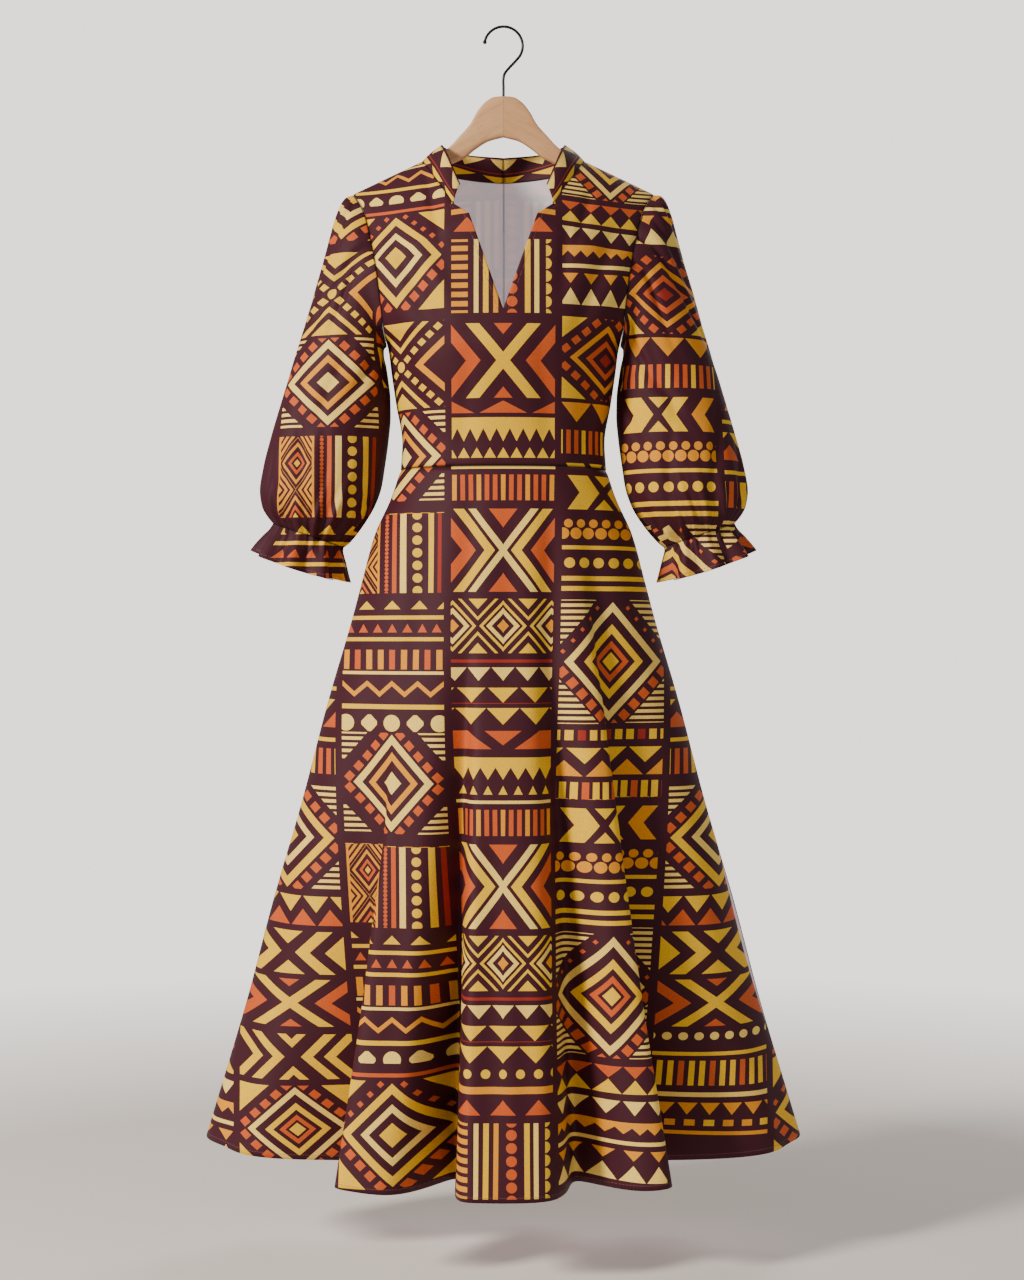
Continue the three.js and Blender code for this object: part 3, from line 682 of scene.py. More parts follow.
# The bands of each column's repeat: where its middle lies, its height, its motif and what
# the motif needs. Places and sizes are given one by one; they aren't exact readings.
FIRST_PARTS = (
    (
        (0.0280, 0.033, bars, 0.0103, 0.56, ORANGE_INK, OCHRE_INK),
        (0.1083, 0.106, cross, 0.75, WOVEN_CROSS),
        (0.2047, 0.069, lattice),
        (0.2492, 0.004, line, RUST_INK),
        (0.2657, 0.017, triangles, 0.0310, 0.94, CREAM_INK, False),
        (0.2924, 0.019, triangles, 0.0410, 0.92, YELLOW_INK, False),
        (0.3027, 0.001, line, RUST_INK),
        (0.3191, 0.021, triangles, 0.0420, 0.98, YELLOW_INK, False),
        (0.3489, 0.023, keystones),
        (0.3850, 0.028, sawtooth, 0.0190, YELLOW_INK),
        (0.4123, 0.011, triangles, 0.0190, 0.60, YELLOW_INK, True),
        (0.0020, 0.004, line, CREAM_INK),
    ),
    (
        (0.0333, 0.044, arrows, YELLOW_INK, OCHRE_INK),
        (0.0804, 0.027, twin_beads, OCHRE_INK),
        (0.1043, 0.005, line, YELLOW_INK),
        (0.1239, 0.014, dots, 0.0189, 0.0066, YELLOW_INK),
        (0.1439, 0.006, line, YELLOW_INK),
        (0.1568, 0.006, line, YELLOW_INK),
        (0.2501, 0.158, diamond, 0.0616, 0.0762, ORANGE_RINGS, 0.4, 1.37),
        (0.3436, 0.013, bars, 0.0134, 0.66, YELLOW_INK, RUST_INK),
        (0.3779, 0.036, facing_triangles, 0.0412, YELLOW_INK, OCHRE_INK),
        (0.4145, 0.022, bars, 0.0116, 0.66, YELLOW_INK, ORANGE_INK),
    ),
    (
        (0.0509, 0.103, trellis_block),
        (0.1176, 0.011, triangles, 0.0342, 0.62, YELLOW_INK, True),
        (0.1338, 0.005, line, YELLOW_INK),
        (0.1474, 0.011, triangles, 0.0191, 0.66, ORANGE_INK, True),
        (0.1615, 0.005, line, YELLOW_INK),
        (0.1876, 0.025, bars, 0.0152, 0.50, OCHRE_INK, ORANGE_INK),
        (0.2046, 0.004, line, CREAM_INK),
        (0.2251, 0.021, zigzag, 0.0332, 0.0034, OCHRE_INK),
        (0.2478, 0.006, line, YELLOW_INK),
        (0.2687, 0.022, lozenges, 0.0303, 0.0106, CREAM_INK),
        (0.3449, 0.128, diamond, 0.0530, 0.0617, CREAM_RINGS, 1.0, 1.67),
    ),
    (
        (0.0038, 0.009, bars, 0.0208, 0.55, OCHRE_INK, YELLOW_INK),
        (0.0176, 0.005, line, OCHRE_INK),
        (0.2600, 0.021, triangles, 0.0420, 0.90, OCHRE_INK, True),
        (0.2860, 0.005, line, YELLOW_INK),
        (0.3180, 0.036, facing_triangles, 0.0412, YELLOW_INK, ORANGE_INK),
        (0.3520, 0.005, line, YELLOW_INK),
        (0.3800, 0.033, bars, 0.0114, 0.55, ORANGE_INK, YELLOW_INK),
        (0.4788, 0.136, diamond, 0.0623, 0.0675, YELLOW_RINGS, 1.0, 1.50),
        (0.5743, 0.038, facing_triangles, 0.0322, YELLOW_INK, ORANGE_INK),
        (0.6295, 0.056, bow_ties, YELLOW_INK),
        (0.6957, 0.062, cross, 1.27, PLAIN_CROSS),
        (0.7396, 0.011, dots, 0.0173, 0.0052, CREAM_INK),
        (0.7631, 0.005, line, YELLOW_INK),
        (0.7888, 0.033, bars, 0.0114, 0.55, YELLOW_INK, ORANGE_INK),
        (0.8175, 0.006, line, CREAM_INK),
        (0.8363, 0.016, triangles, 0.0242, 0.88, OCHRE_INK, False),
    ),
)
# The bands of the columns lower down the cloth
SECOND_PARTS = (
    (
        (0.0098, 0.013, dots, 0.0228, 0.0058, YELLOW_INK),
        (0.0301, 0.009, line, OCHRE_INK),
        (0.0515, 0.019, triangles, 0.0457, 0.74, ORANGE_INK, True),
        (0.1180, 0.094, stripes_block),
        (0.2236, 0.091, cross, 0.85, PLAIN_CROSS),
        (0.2800, 0.015, triangles, 0.0670, 0.90, ORANGE_INK, True),
        (0.3080, 0.030, sawtooth, 0.0168, YELLOW_INK),
        (0.3370, 0.013, triangles, 0.0168, 0.90, YELLOW_INK, True),
    ),
    (
        (0.0134, 0.015, triangles, 0.0277, 0.96, ORANGE_INK, False),
        (0.0318, 0.018, triangles, 0.0277, 0.98, YELLOW_INK, True),
        (0.0590, 0.018, triangles, 0.0277, 0.90, CREAM_INK, False),
        (0.0845, 0.015, sawtooth, 0.0168, OCHRE_INK),
        (0.1035, 0.005, line, CREAM_INK),
        (0.1194, 0.013, triangles, 0.0277, 0.72, OCHRE_INK, False),
        (0.1420, 0.021, triangles, 0.0277, 0.94, CREAM_INK, True),
        (0.2180, 0.100, diamond, 0.0630, 0.0480, RUST_RINGS, 1.0, 0),
        (0.2850, 0.024, triangles, 0.0447, 0.96, OCHRE_INK, False),
        (0.3220, 0.030, bars, 0.0112, 0.55, ORANGE_INK, YELLOW_INK),
        (0.3710, 0.044, arrows, YELLOW_INK, OCHRE_INK),
        (0.4180, 0.027, twin_beads, OCHRE_INK),
        (0.4425, 0.005, line, YELLOW_INK),
        (0.4630, 0.014, dots, 0.0189, 0.0066, YELLOW_INK),
        (0.4840, 0.006, line, YELLOW_INK),
        (0.4970, 0.006, line, YELLOW_INK),
        (0.5850, 0.154, diamond, 0.0616, 0.0740, ORANGE_RINGS, 0.4, 1.37),
    ),
    (
        (0.0148, 0.005, line, ORANGE_INK),
        (0.0899, 0.136, diamond, 0.0627, 0.0649, YELLOW_RINGS, 0.6, 0),
        (0.2260, 0.106, beaded_cross),
        (0.3400, 0.114, diamond, 0.0600, 0.0550, CREAM_RINGS, 1.0, 1.60),
        (0.4600, 0.103, trellis_block),
        (0.5270, 0.011, triangles, 0.0342, 0.62, YELLOW_INK, True),
        (0.5440, 0.005, line, YELLOW_INK),
        (0.5575, 0.011, triangles, 0.0191, 0.66, ORANGE_INK, True),
        (0.5715, 0.005, line, YELLOW_INK),
        (0.5930, 0.020, bars, 0.0152, 0.50, OCHRE_INK, ORANGE_INK),
    ),
    (
        (0.0082, 0.060, cross, 0.9, CHEVRONS),
        (0.1044, 0.116, diamond, 0.0554, 0.0560, ORANGE_RINGS, 1.0, 0),
    ),
)


def print_ink(across, down):
    """The ink at a place of the cloth: 0 for the ground, and a number for each colour."""
    column = (across / COLUMN_WIDTH + 0.5).floor()
    x = across - column * COLUMN_WIDTH
    number = column % 4.0
    outer = inside(number, 1.5, 2.5)
    left = number > 2.5
    # The lists go from the centre to the inner right, inner left and outer columns
    order = number + outer - left
    # The outer columns repeat after twice the length, and only the left one changes
    length = REPEAT + outer * REPEAT
    first_way = (down - left * LEFT_DOWN) % length + order * REPEAT
    second_way = down - SECOND_PART + order + SECOND_PART_KEY
    second = down > SECOND_PART + outer * ((column > 0.0) * PAST_THE_HEM - OUTER_LEFT_SOONER)
    way = first_way + second * (second_way - first_way)
    keyed = [
        (middle + number * REPEAT, height, motif)
        for number, bands in enumerate(FIRST_PARTS)
        for middle, height, *motif in bands
    ] + [
        (middle + number + SECOND_PART_KEY, height, motif)
        for number, bands in enumerate(SECOND_PARTS)
        for middle, height, *motif in bands
    ]
    ink = 0.0
    for middle, height, (motif, *details) in keyed:
        y = way - middle
        ink = ink + (abs(y) < height / 2) * motif(x, y, height, *details)
    return ink * (abs(x) < PANEL_HALF)


# A collar's own stretch of the print: hanging triangles, a fine line, and the next row
COLLAR_ROWS = ((0.0110, 0.014, CREAM_INK), (0.0330, 0.012, YELLOW_INK))
COLLAR_TRIANGLE = 0.0390


def collar_ink(across, down):
    ink = (abs(down - 0.0225) < 0.0007) * RUST_INK
    for middle, height, row_ink in COLLAR_ROWS:
        y = down - middle
        band = abs(y) < height / 2
        ink = ink + band * triangles(across, y, height, COLLAR_TRIANGLE, 0.84, row_ink, False)
    return ink


SPECK = (0.03, 0.012, 0.015)
# The colour of the painted shade along the seams
SEAM_PAINTED_SHADE = (0.008, 0.004, 0.005)
THREAD_PITCH = 0.0009
SEAM_DITCH = 0.0022
STITCH_WAY = (0.0060, 0.0067)
STITCH_PITCH = 0.0032
# A painted glow on the wrong side, standing in for the little light that comes through the thin
# cloth on to it
WRONG_SIDE_PAINTED_GLOW = 0.16


def printed_cloth(name, wrong_side, ink_of):
    """Cotton sateen with the print, or its wrong side, where the print shows through pale and a
    painted glow lightens it.
    Seams lie in a ditch with painted shade along it, and finished edges have a line of stitches."""
    material, shader, start = new_material(name, 0.58)
    place = start.node("ShaderNodeUVMap", {"uv_map": "print"})
    across, down, _ = place.axes()
    seam_way, edge_way, _ = start.node("ShaderNodeUVMap", {"uv_map": "edges"}).axes()
    stops = [((n - 0.5) / INK_LEVELS if n else 0, colour) for n, colour in enumerate(INKS)]
    ramp_at = ink_of(across, down) / INK_LEVELS
    colour = start.node("ShaderNodeValToRGB", {"stops": stops}, {0: ramp_at})
    blotch = start.node(
        "ShaderNodeTexNoise", inputs={"Vector": place, "Scale": 19.0, "Detail": 4.0}
    )
    colour = mix(start, blotch * 0.30, colour, OCHRE, "MULTIPLY")
    speckle = start.node("ShaderNodeTexNoise", inputs={"Vector": place, "Scale": 520.0})
    colour = mix(start, (speckle > 0.56) * 0.14, colour, SPECK)
    if wrong_side:
        colour = mix(start, 0.80, colour, WRONG_SIDE)
        # Painted light: the wrong side glows a little in its own colour, so it stays pale where it
        # lies in shade
        colour.feed(shader, "Emission Color")
        shader.inputs["Emission Strength"].default_value = WRONG_SIDE_PAINTED_GLOW
    stitch = (
        inside(edge_way, *STITCH_WAY) * (cell(across, STITCH_PITCH) < STITCH_PITCH * 0.36)
    )
    colour = mix(start, stitch * 0.7, colour, THREAD)
    # Painted shade: the colour darkens towards each seam line. The same mask also sinks the bump
    # into a ditch.
    ditch_and_painted_shade = (1 - seam_way / SEAM_DITCH).most(0.0)
    colour = mix(start, ditch_and_painted_shade * 0.85, colour, SEAM_PAINTED_SHADE)
    warp = start.math("SINE", across * (2 * math.pi / THREAD_PITCH))
    weft = start.math("SINE", down * (2 * math.pi / THREAD_PITCH))
    slub = start.node("ShaderNodeTexNoise", inputs={"Vector": place, "Scale": 900.0})
    edge_roll = inside(edge_way, 0.0, STITCH_WAY[1]) * 1.5
    height = warp * weft * 0.5 + slub * 0.6 + edge_roll - stitch * 1.5 - ditch_and_painted_shade * 3
    bump = {"Strength": 0.30, "Distance": 0.0003, "Height": height}
    colour.feed(shader, "Base Color")
    start.node("ShaderNodeBump", inputs=bump).feed(shader, "Normal")
    (slub * 0.16 + 0.56).feed(shader, "Roughness")
    shader.inputs["Sheen Weight"].default_value = 0.03
    shader.inputs["Sheen Roughness"].default_value = 0.35
    shader.inputs["Specular IOR Level"].default_value = 0.22
    return material


outside = printed_cloth("printed_cotton", False, print_ink)
inside_face = printed_cloth("printed_cotton_wrong_side", True, print_ink)
cloth_faces = (outside, inside_face)


def place_for(piece, node):
    """Puts a piece in the place of its node."""
    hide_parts(node)
    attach(piece, "root")


def make_cloth(piece, node, faces):
    thick = piece.modifiers.new("thickness", "SOLIDIFY")
    thick.thickness = CLOTH_THICKNESS
    thick.offset = 0
    thick.material_offset = 1
    for material in faces:
        piece.data.materials.append(material)
    place_for(piece, node)


front_patches = []
for side in (-1, 1):
    grid, places = bodice_half("front", side, front_inner_end, FRONT_CREASES, BODICE_PRINT_DOWN)
    front_patches.append((grid, places, side < 0))
bodice_front = cloth_mesh("bodice_front_cloth", front_patches)
make_cloth(bodice_front, "bodice_front", cloth_faces)


# Bodice backs. Two pieces of the same cotton, sewn together down the centre back, where
# the neck's opening shows their pale wrong side and the pressed seam between them.

BACK_NECK_Z = -0.192


def back_inner_end(step):
    """The collar seam, then the centre back seam."""
    angle = math.pi / 2 * np.clip(step / COLLAR_END, 0, 1)
    below = np.clip((step - COLLAR_END) / (WAIST_ROW - COLLAR_END), 0, 1)
    neck_z = NECK_POINT[1] + (BACK_NECK_Z - NECK_POINT[1]) * np.sin(angle)
    x = NECK_POINT[0] * np.cos(angle)
    return np.maximum(x, SEAM_LINE), neck_z + (WAIST_Z - BACK_NECK_Z) * below


for side, word in ((-1, "left"), (1, "right")):
    grid, places = bodice_half("back", side, back_inner_end, BACK_CREASES, BACK_PRINT_DOWN)
    piece = cloth_mesh(f"bodice_back_{word}_cloth", [(grid, places, side > 0)])
    make_cloth(piece, f"bodice_back_{word}", cloth_faces)


# Stand collar. Two bands of the same cotton, faced with itself, standing round the neck
# from a small slit at the centre back to angled ends in front.

COLLAR_TOP = table(
    "share x y z",
    (0, 0, 0.052, -0.159),
    (0.3, 0.050, 0.040, -0.157),
    (0.5, 0.080, 0.004, -0.152),
    (0.7, 0.074, -0.034, -0.166),
    (1, 0.055, -0.066, -0.215),
)
COLLAR_COLUMNS = 64
COLLAR_HEIGHT_ROWS = 14
COLLAR_BOW = 0.0022


def neck_seam(share):
    """The collar seam from the centre back round to the notch."""
    back_step = COLLAR_END * (1 - np.clip(share * 2, 0, 1))
    front_step = COLLAR_END * np.clip(share * 2 - 1, 0, 1)
    on_back = share < 0.5
    back = back_inner_end(back_step)
    front = front_inner_end(front_step)
    x = np.where(on_back, back[0], front[0])
    z = np.where(on_back, back[1], front[1])
    y = np.where(on_back, torso_depth(x, z, "back"), -torso_depth(x, z, "front"))
    return layers(x, y, z)


share = np.linspace(0, 1, COLLAR_COLUMNS + 1)
collar_foot = neck_seam(share)
collar_top = layers(*(follow(COLLAR_TOP, "share", axis, share) for axis in "xyz"))
collar_top[0, 0] = SEAM_LINE
rise = np.linspace(1, 0, COLLAR_HEIGHT_ROWS + 1)[:, None]
collar_grid = collar_foot * (1 - rise[..., None]) + collar_top * rise[..., None]
outwards = collar_foot * np.array([1, 1, 0])
outwards /= np.linalg.norm(outwards, axis=-1, keepdims=True)
collar_grid += outwards * COLLAR_BOW * np.sin(math.pi * rise)[..., None]
collar_tall = np.linalg.norm(collar_top - collar_foot, axis=-1)[None, :]
collar_step = np.linalg.norm(np.diff(collar_top, axis=0), axis=1)
collar_run = np.concatenate([[0], collar_step.cumsum()])[None, :]
collar_end = collar_run[0, -1] - collar_run
collar_material = printed_cloth("printed_cotton_collar", False, collar_ink)
for side, word in ((-1, "left"), (1, "right")):
    seam = np.minimum(collar_tall * rise + 0.0004, collar_run + 0.0002)
    edge = np.minimum(collar_tall * (1 - rise), collar_end)
    places = layers(side * collar_run, collar_tall * (1 - rise) + 0.0015, seam, edge + 0.0030)
    grid = collar_grid * np.array([side, 1, 1])
    piece = cloth_mesh(f"collar_{word}_cloth", [(grid, places, side > 0)])
    both = (collar_material, collar_material)
    make_cloth(piece, f"collar_{word}", both)


# Sleeves. Each is one wide piece, sewn into a tube, lightly gathered into the armhole and
# gathered hard into the cuff seam, so that it stands out round above the cuff.

SLEEVE = table(
    "ring inner_x inner_z outer_x outer_z front back gather",
    (0, 0.150, -0.415, 0.195, -0.217, 0.066, 0.062, 0),
    (1, 0.1545, -0.419, 0.207, -0.226, 0.066, 0.062, 0),
    (2, 0.155, -0.427, 0.217, -0.246, 0.066, 0.062, 0),
    (3, 0.1525, -0.440, 0.226, -0.276, 0.066, 0.062, 0),
    (4, 0.150, -0.458, 0.235, -0.309, 0.065, 0.061, 0),
    (5, 0.1475, -0.480, 0.246, -0.345, 0.064, 0.060, 0),
    (6, 0.147, -0.505, 0.258, -0.388, 0.064, 0.060, 0),
    (7, 0.1495, -0.535, 0.272, -0.433, 0.065, 0.060, 0),
    (8, 0.154, -0.568, 0.287, -0.483, 0.067, 0.061, 0),
    (9, 0.159, -0.598, 0.301, -0.530, 0.068, 0.062, 0.0002),
    (10, 0.168, -0.622, 0.311, -0.570, 0.068, 0.062, 0.0007),
    (11, 0.181, -0.642, 0.315, -0.600, 0.064, 0.058, 0.0016),
    (12, 0.196, -0.660, 0.311, -0.623, 0.054, 0.050, 0.0025),
    (13, 0.205, -0.669, 0.303, -0.637, 0.042, 0.040, 0.0029),
    (14, 0.211, -0.6745, 0.297, -0.645, 0.036, 0.034, 0.0021),
)
SLEEVE_COLUMNS = 240
SLEEVE_ROWS = 120
CAP_BLEND_RINGS = 5
CUFF_GATHERS = 18
CAP_GATHERS = 28
CAP_GATHER_SPREAD = math.radians(58)
# Where each sleeve is cut from the print, across and down
SLEEVE_PRINT = {"left": (0.0827, 1.2066), "right": (-0.0686, 1.1967)}

# Creases of a sleeve: the angle from its outer edge, the height, how far it leans along
# the sleeve, its half length down the sleeve, its half width round it, and its reach in
SLEEVE_CREASES = (
    (0.50, -0.300, 0.5, 0.055, 0.13, 0.0050),
    (0.95, -0.330, 0.7, 0.075, 0.12, 0.0065),
    (1.40, -0.345, 0.3, 0.065, 0.10, 0.0045),
    (2.20, -0.430, 0.9, 0.055, 0.15, 0.0060),
    (2.60, -0.480, 0.6, 0.050, 0.13, 0.0050),
    (1.10, -0.565, -0.5, 0.065, 0.12, 0.0055),
    (1.85, -0.595, -0.4, 0.060, 0.11, 0.0055),
    (0.60, -0.605, -0.3, 0.050, 0.11, 0.0045),
    (1.50, -0.480, 0.3, 0.070, 0.14, 0.0030),
    (-0.80, -0.350, 0.5, 0.060, 0.14, 0.0050),
    (-1.50, -0.420, 0.4, 0.060, 0.13, 0.0055),
    (-2.20, -0.560, -0.4, 0.050, 0.13, 0.0050),
    (-0.90, -0.585, -0.4, 0.050, 0.12, 0.0045),
)


def ring_points(rows, ring, angle, side):
    """Points of a ring's ellipse, and the way out from its middle."""
    names = ("inner_x", "inner_z", "outer_x", "outer_z", "front", "back")
    inner_x, inner_z, outer_x, outer_z, front, back = (
        follow(rows, "ring", name, ring) for name in names
    )
    swing = np.cos(angle) / 2
    depth = np.sin(angle) * np.where(np.sin(angle) > 0, front, back)
    offset = layers(side * (outer_x - inner_x) * swing, -depth, (outer_z - inner_z) * swing)
    middle = layers(side * (inner_x + outer_x) / 2, 0.0, (inner_z + outer_z) / 2)
    out = offset / np.linalg.norm(offset, axis=-1, keepdims=True)
    return middle + offset, out


def armhole_points(angle, side):
    """The armhole seam, with a little ease at the underarm."""
    step = np.where(angle <= math.pi, angle, 2 * math.pi - angle) / math.pi * ARMHOLE_END
    ends = {face: bodice_outer_end(step, face) for face in ("front", "back")}
    in_front = angle <= math.pi
    x = np.where(in_front, ends["front"][0], ends["back"][0])
    z = np.where(in_front, ends["front"][1], ends["back"][1])
    y = np.where(in_front, -torso_depth(x, z, "front"), torso_depth(x, z, "back"))
    ease = 0.0003 + 0.0016 * np.clip((-z - 0.385) / 0.03, 0, 1)
    return layers(side * (x + ease), y, z)


def sleeve_relief(angle, z, side, ring):
    """How far the sleeve's creases and the gathers at its head move it in or out."""
    turned = np.where(angle > math.pi, angle - 2 * math.pi, angle)
    relief = np.zeros(np.broadcast_shapes(angle.shape, z.shape))
    for n, (at, height, lean, length, width, reach) in enumerate(SLEEVE_CREASES):
        moved = at + 0.12 * math.sin(3.1 * n + side)
        off = turned - moved - lean * (z - height) / 0.1
        fade = np.exp(-(((z - height) / length) ** 2))
        relief -= reach * fade * np.exp(-((off / width) ** 2))
    spread = np.clip(1 - (turned / CAP_GATHER_SPREAD) ** 2, 0, 1)
    length = 1.1 + 0.7 * np.sin(turned * 7.1 + 2 * side) ** 2
    head = np.exp(-(((ring - 0.8) / length) ** 2)) * np.clip(ring * 1.5, 0, 1)
    uneven = 1 + 0.4 * np.sin(turned * 5.3 + side)
    return relief + 0.0030 * spread * head * uneven * np.cos(turned * CAP_GATHERS)


def gather_wave(angle, side):
    """Cuff gathers: main folds of uneven size with finer ones between them."""
    bent = angle + 0.05 * np.sin(3 * angle + side) + 0.03 * np.sin(7 * angle)
    fine = 0.40 * np.cos(CUFF_GATHERS * 2 * bent + 1.0)
    return np.cos(CUFF_GATHERS * bent) * (1 + 0.35 * np.sin(5 * angle + 2 * side)) + fine


def sleeve_print(grid, angle, ring, side, word):
    """Upright print: straight on in front, and wrapped round at the sides."""
    outer_x = follow(SLEEVE, "ring", "outer_x", ring)
    inner_x = follow(SLEEVE, "ring", "inner_x", ring)
    half = np.maximum((outer_x - inner_x) / 2, 0.050)
    turn = angle - math.pi / 2
    within = np.where(np.abs(turn) < math.pi / 2, np.sin(turn), 1 + (turn - math.pi / 2) * 0.8)
    across = half * (within * (1 - PRINT_WRAP) + turn * PRINT_WRAP)
    start, down = SLEEVE_PRINT[word]
    return side * ((outer_x + inner_x) / 2 - across) + start, WAIST_Z - grid[..., 2] + down


def run_down(grid):
    """The distance down a grid of cloth from its first row."""
    steps = np.linalg.norm(np.diff(grid, axis=0), axis=-1)
    return np.concatenate([np.zeros((1, grid.shape[1])), steps.cumsum(axis=0)])


for side, word in ((-1, "left"), (1, "right")):
    ring = np.linspace(0, 14, SLEEVE_ROWS + 1)[:, None]
    angle = np.linspace(0, 2 * math.pi, SLEEVE_COLUMNS + 1)[None, :]
    grid, out = ring_points(SLEEVE, ring, angle, side)
    start_ring, _ = ring_points(SLEEVE, np.zeros((1, 1)), angle, side)
    fade = np.clip(1 - ring / CAP_BLEND_RINGS, 0, 1)[..., None] ** 2
    grid = grid + (armhole_points(angle, side) - start_ring) * fade
    run = run_down(grid)
    uneven = 1 + 0.6 * np.sin(angle * 4 + side) * np.clip((12 - ring) / 3, 0, 1)
    gather = follow(SLEEVE, "ring", "gather", ring) * uneven * gather_wave(angle, side)
    tuck = 0.6 * SEAM_TUCK * np.exp(-((run / SEAM_TUCK_WIDTH) ** 2))
    relief = sleeve_relief(angle, grid[..., 2], side, ring) + gather - tuck
    grid = grid + out * relief[..., None]
    across, down = sleeve_print(grid, angle, ring, side, word)
    under_way = np.abs(angle - math.pi) * 0.055
    seam = np.minimum(np.minimum(run, run[-1:] - run), under_way)
    grid[:, -1] = grid[:, 0]
    places = layers(across, down, seam, FAR)
    piece = cloth_mesh(f"sleeve_{word}_cloth", [(grid, places, side > 0)])
    make_cloth(piece, f"sleeve_{word}", cloth_faces)


# Sleeve flounces. A short straight ruffle of the same cotton, gathered on to the end of
# each sleeve, that springs open in waves, with a narrow hem.

FLOUNCE = table(
    "ring inner_x inner_z outer_x outer_z front back gather wave",
    (0, 0.211, -0.6745, 0.297, -0.6450, 0.036, 0.034, 0.0021, 0),
    (1, 0.2095, -0.684, 0.301, -0.653, 0.038, 0.036, 0.0014, 0.002),
    (2, 0.2075, -0.695, 0.308, -0.662, 0.042, 0.040, 0.0008, 0.0045),
    (3, 0.2055, -0.706, 0.3155, -0.6715, 0.046, 0.044, 0.0004, 0.006),
    (4, 0.203, -0.717, 0.322, -0.681, 0.050, 0.048, 0.0002, 0.007),
)
FLOUNCE_ROWS = 28
FLOUNCE_WAVES = 9
FLOUNCE_DROOP = 0.008

for side, word in ((-1, "left"), (1, "right")):
    ring = np.linspace(0, 4, FLOUNCE_ROWS + 1)[:, None]
    angle = np.linspace(0, 2 * math.pi, SLEEVE_COLUMNS + 1)[None, :]
    grid, out = ring_points(FLOUNCE, ring, angle, side)
    gather = follow(FLOUNCE, "ring", "gather", ring) * gather_wave(angle, side)
    wave = follow(FLOUNCE, "ring", "wave", ring) * np.cos(FLOUNCE_WAVES * angle)
    grid = grid + out * (gather + wave)[..., None]
    grid[..., 2] -= FLOUNCE_DROOP * ring / 4 * np.abs(np.sin(angle))
    across, down = sleeve_print(grid, angle, 14 + 0 * ring, side, word)
    run = run_down(grid)
    grid[:, -1] = grid[:, 0]
    places = layers(across, down, run, run[-1:] - run + 0.0020)
    piece = cloth_mesh(f"flounce_{word}_cloth", [(grid, places, side > 0)])
    make_cloth(piece, f"flounce_{word}", cloth_faces)


# Skirt front and back. Two flared pieces of the same cotton, fitted into the waist seam
# without gathers, that fall in deep folds to a narrow hem.

HEM_Z = -1.473
SIDE_HEM_RISE = 0.036
SKIRT_COLUMNS = 330
SKIRT_ROWS = 132
SKIRT = table(
    "z half_width front back",
    (-0.575, 0.133, 0.086, 0.076),
    (-0.613, 0.146, 0.096, 0.084),
    (-0.660, 0.167, 0.108, 0.092),
    (-0.715, 0.182, 0.119, 0.099),
    (-0.768, 0.196, 0.129, 0.105),
    (-0.874, 0.227, 0.148, 0.116),
    (-1.004, 0.261, 0.168, 0.128),
    (-1.134, 0.299, 0.190, 0.140),
    (-1.263, 0.333, 0.210, 0.152),
    (-1.394, 0.372, 0.230, 0.164),
    (-1.473, 0.396, 0.242, 0.172),
)
# Troughs between the folds: angle from the centre in degrees, widths to the left and the
# right, reach in at the hem, and the height where each starts
FOLDS = {
    "front": (
        (-72, 8, 8, 0.012, -1.000),
        (-38, 18, 3.4, 0.150, -0.900),
        (-12.6, 5, 3, 0.125, -0.780),
        (18, 6, 5.5, 0.100, -0.640),
        (38.5, 3.6, 18, 0.145, -0.700),
        (75, 8, 8, 0.010, -1.050),
    ),
    "back": (
        (-62, 7, 7, 0.050, -0.860),
        (-31, 6, 7, 0.075, -0.740),
        (-3, 7, 6, 0.080, -0.660),
        (26, 7, 6, 0.070, -0.720),
        (57, 7, 7, 0.055, -0.880),
    ),
}
# Lesser creases: start x and z, end x and z, half width, reach in
SKIRT_CREASES = {
    "front": (
        (-0.085, -0.585, -0.120, -0.860, 0.016, 0.0050),
        (-0.040, -0.580, -0.052, -0.800, 0.015, 0.0035),
        (0.010, -0.590, 0.004, -0.900, 0.018, 0.0030),
        (0.055, -0.580, 0.078, -0.820, 0.014, 0.0045),
        (0.100, -0.590, 0.150, -0.900, 0.017, 0.0055),
        (-0.150, -0.760, -0.215, -1.150, 0.020, 0.0050),
        (-0.010, -1.000, -0.014, -1.480, 0.022, 0.0060),
        (0.020, -1.080, 0.034, -1.480, 0.016, 0.0040),
        (-0.125, -1.020, -0.140, -1.490, 0.024, 0.0070),
        (0.150, -1.030, 0.166, -1.490, 0.022, 0.0065),
        (-0.270, -1.100, -0.300, -1.490, 0.026, 0.0070),
        (0.290, -1.060, 0.320, -1.490, 0.026, 0.0070),
    ),
    "back": (
        (-0.090, -0.585, -0.130, -0.880, 0.016, 0.0050),
        (-0.030, -0.580, -0.036, -0.820, 0.015, 0.0040),
        (0.040, -0.580, 0.055, -0.860, 0.015, 0.0045),
        (0.095, -0.585, 0.140, -0.900, 0.016, 0.0050),
        (-0.100, -1.020, -0.115, -1.480, 0.020, 0.0060),
        (0.060, -1.000, 0.070, -1.480, 0.022, 0.0060),
        (0.220, -1.050, 0.250, -1.480, 0.024, 0.0065),
        (-0.240, -1.080, -0.270, -1.480, 0.024, 0.0060),
    ),
}
# The print runs a little faster towards the hem, and folds take in some of its width
HEM_PRINT_GAIN = 0.038
FOLD_PRINT_SHARE = 0.25


def fold_reach(face, degrees, z):
    """How far the troughs reach in."""
    reach = np.zeros(np.broadcast_shapes(degrees.shape, z.shape))
    for angle, left, right, deepest, top in FOLDS[face]:
        width = np.where(degrees < angle, left, right)
        grown = np.clip((top - z) / (top - HEM_Z), 0, 1) ** 1.2
        reach += deepest * grown * np.exp(-(((degrees - angle) / width) ** 2))
    return reach


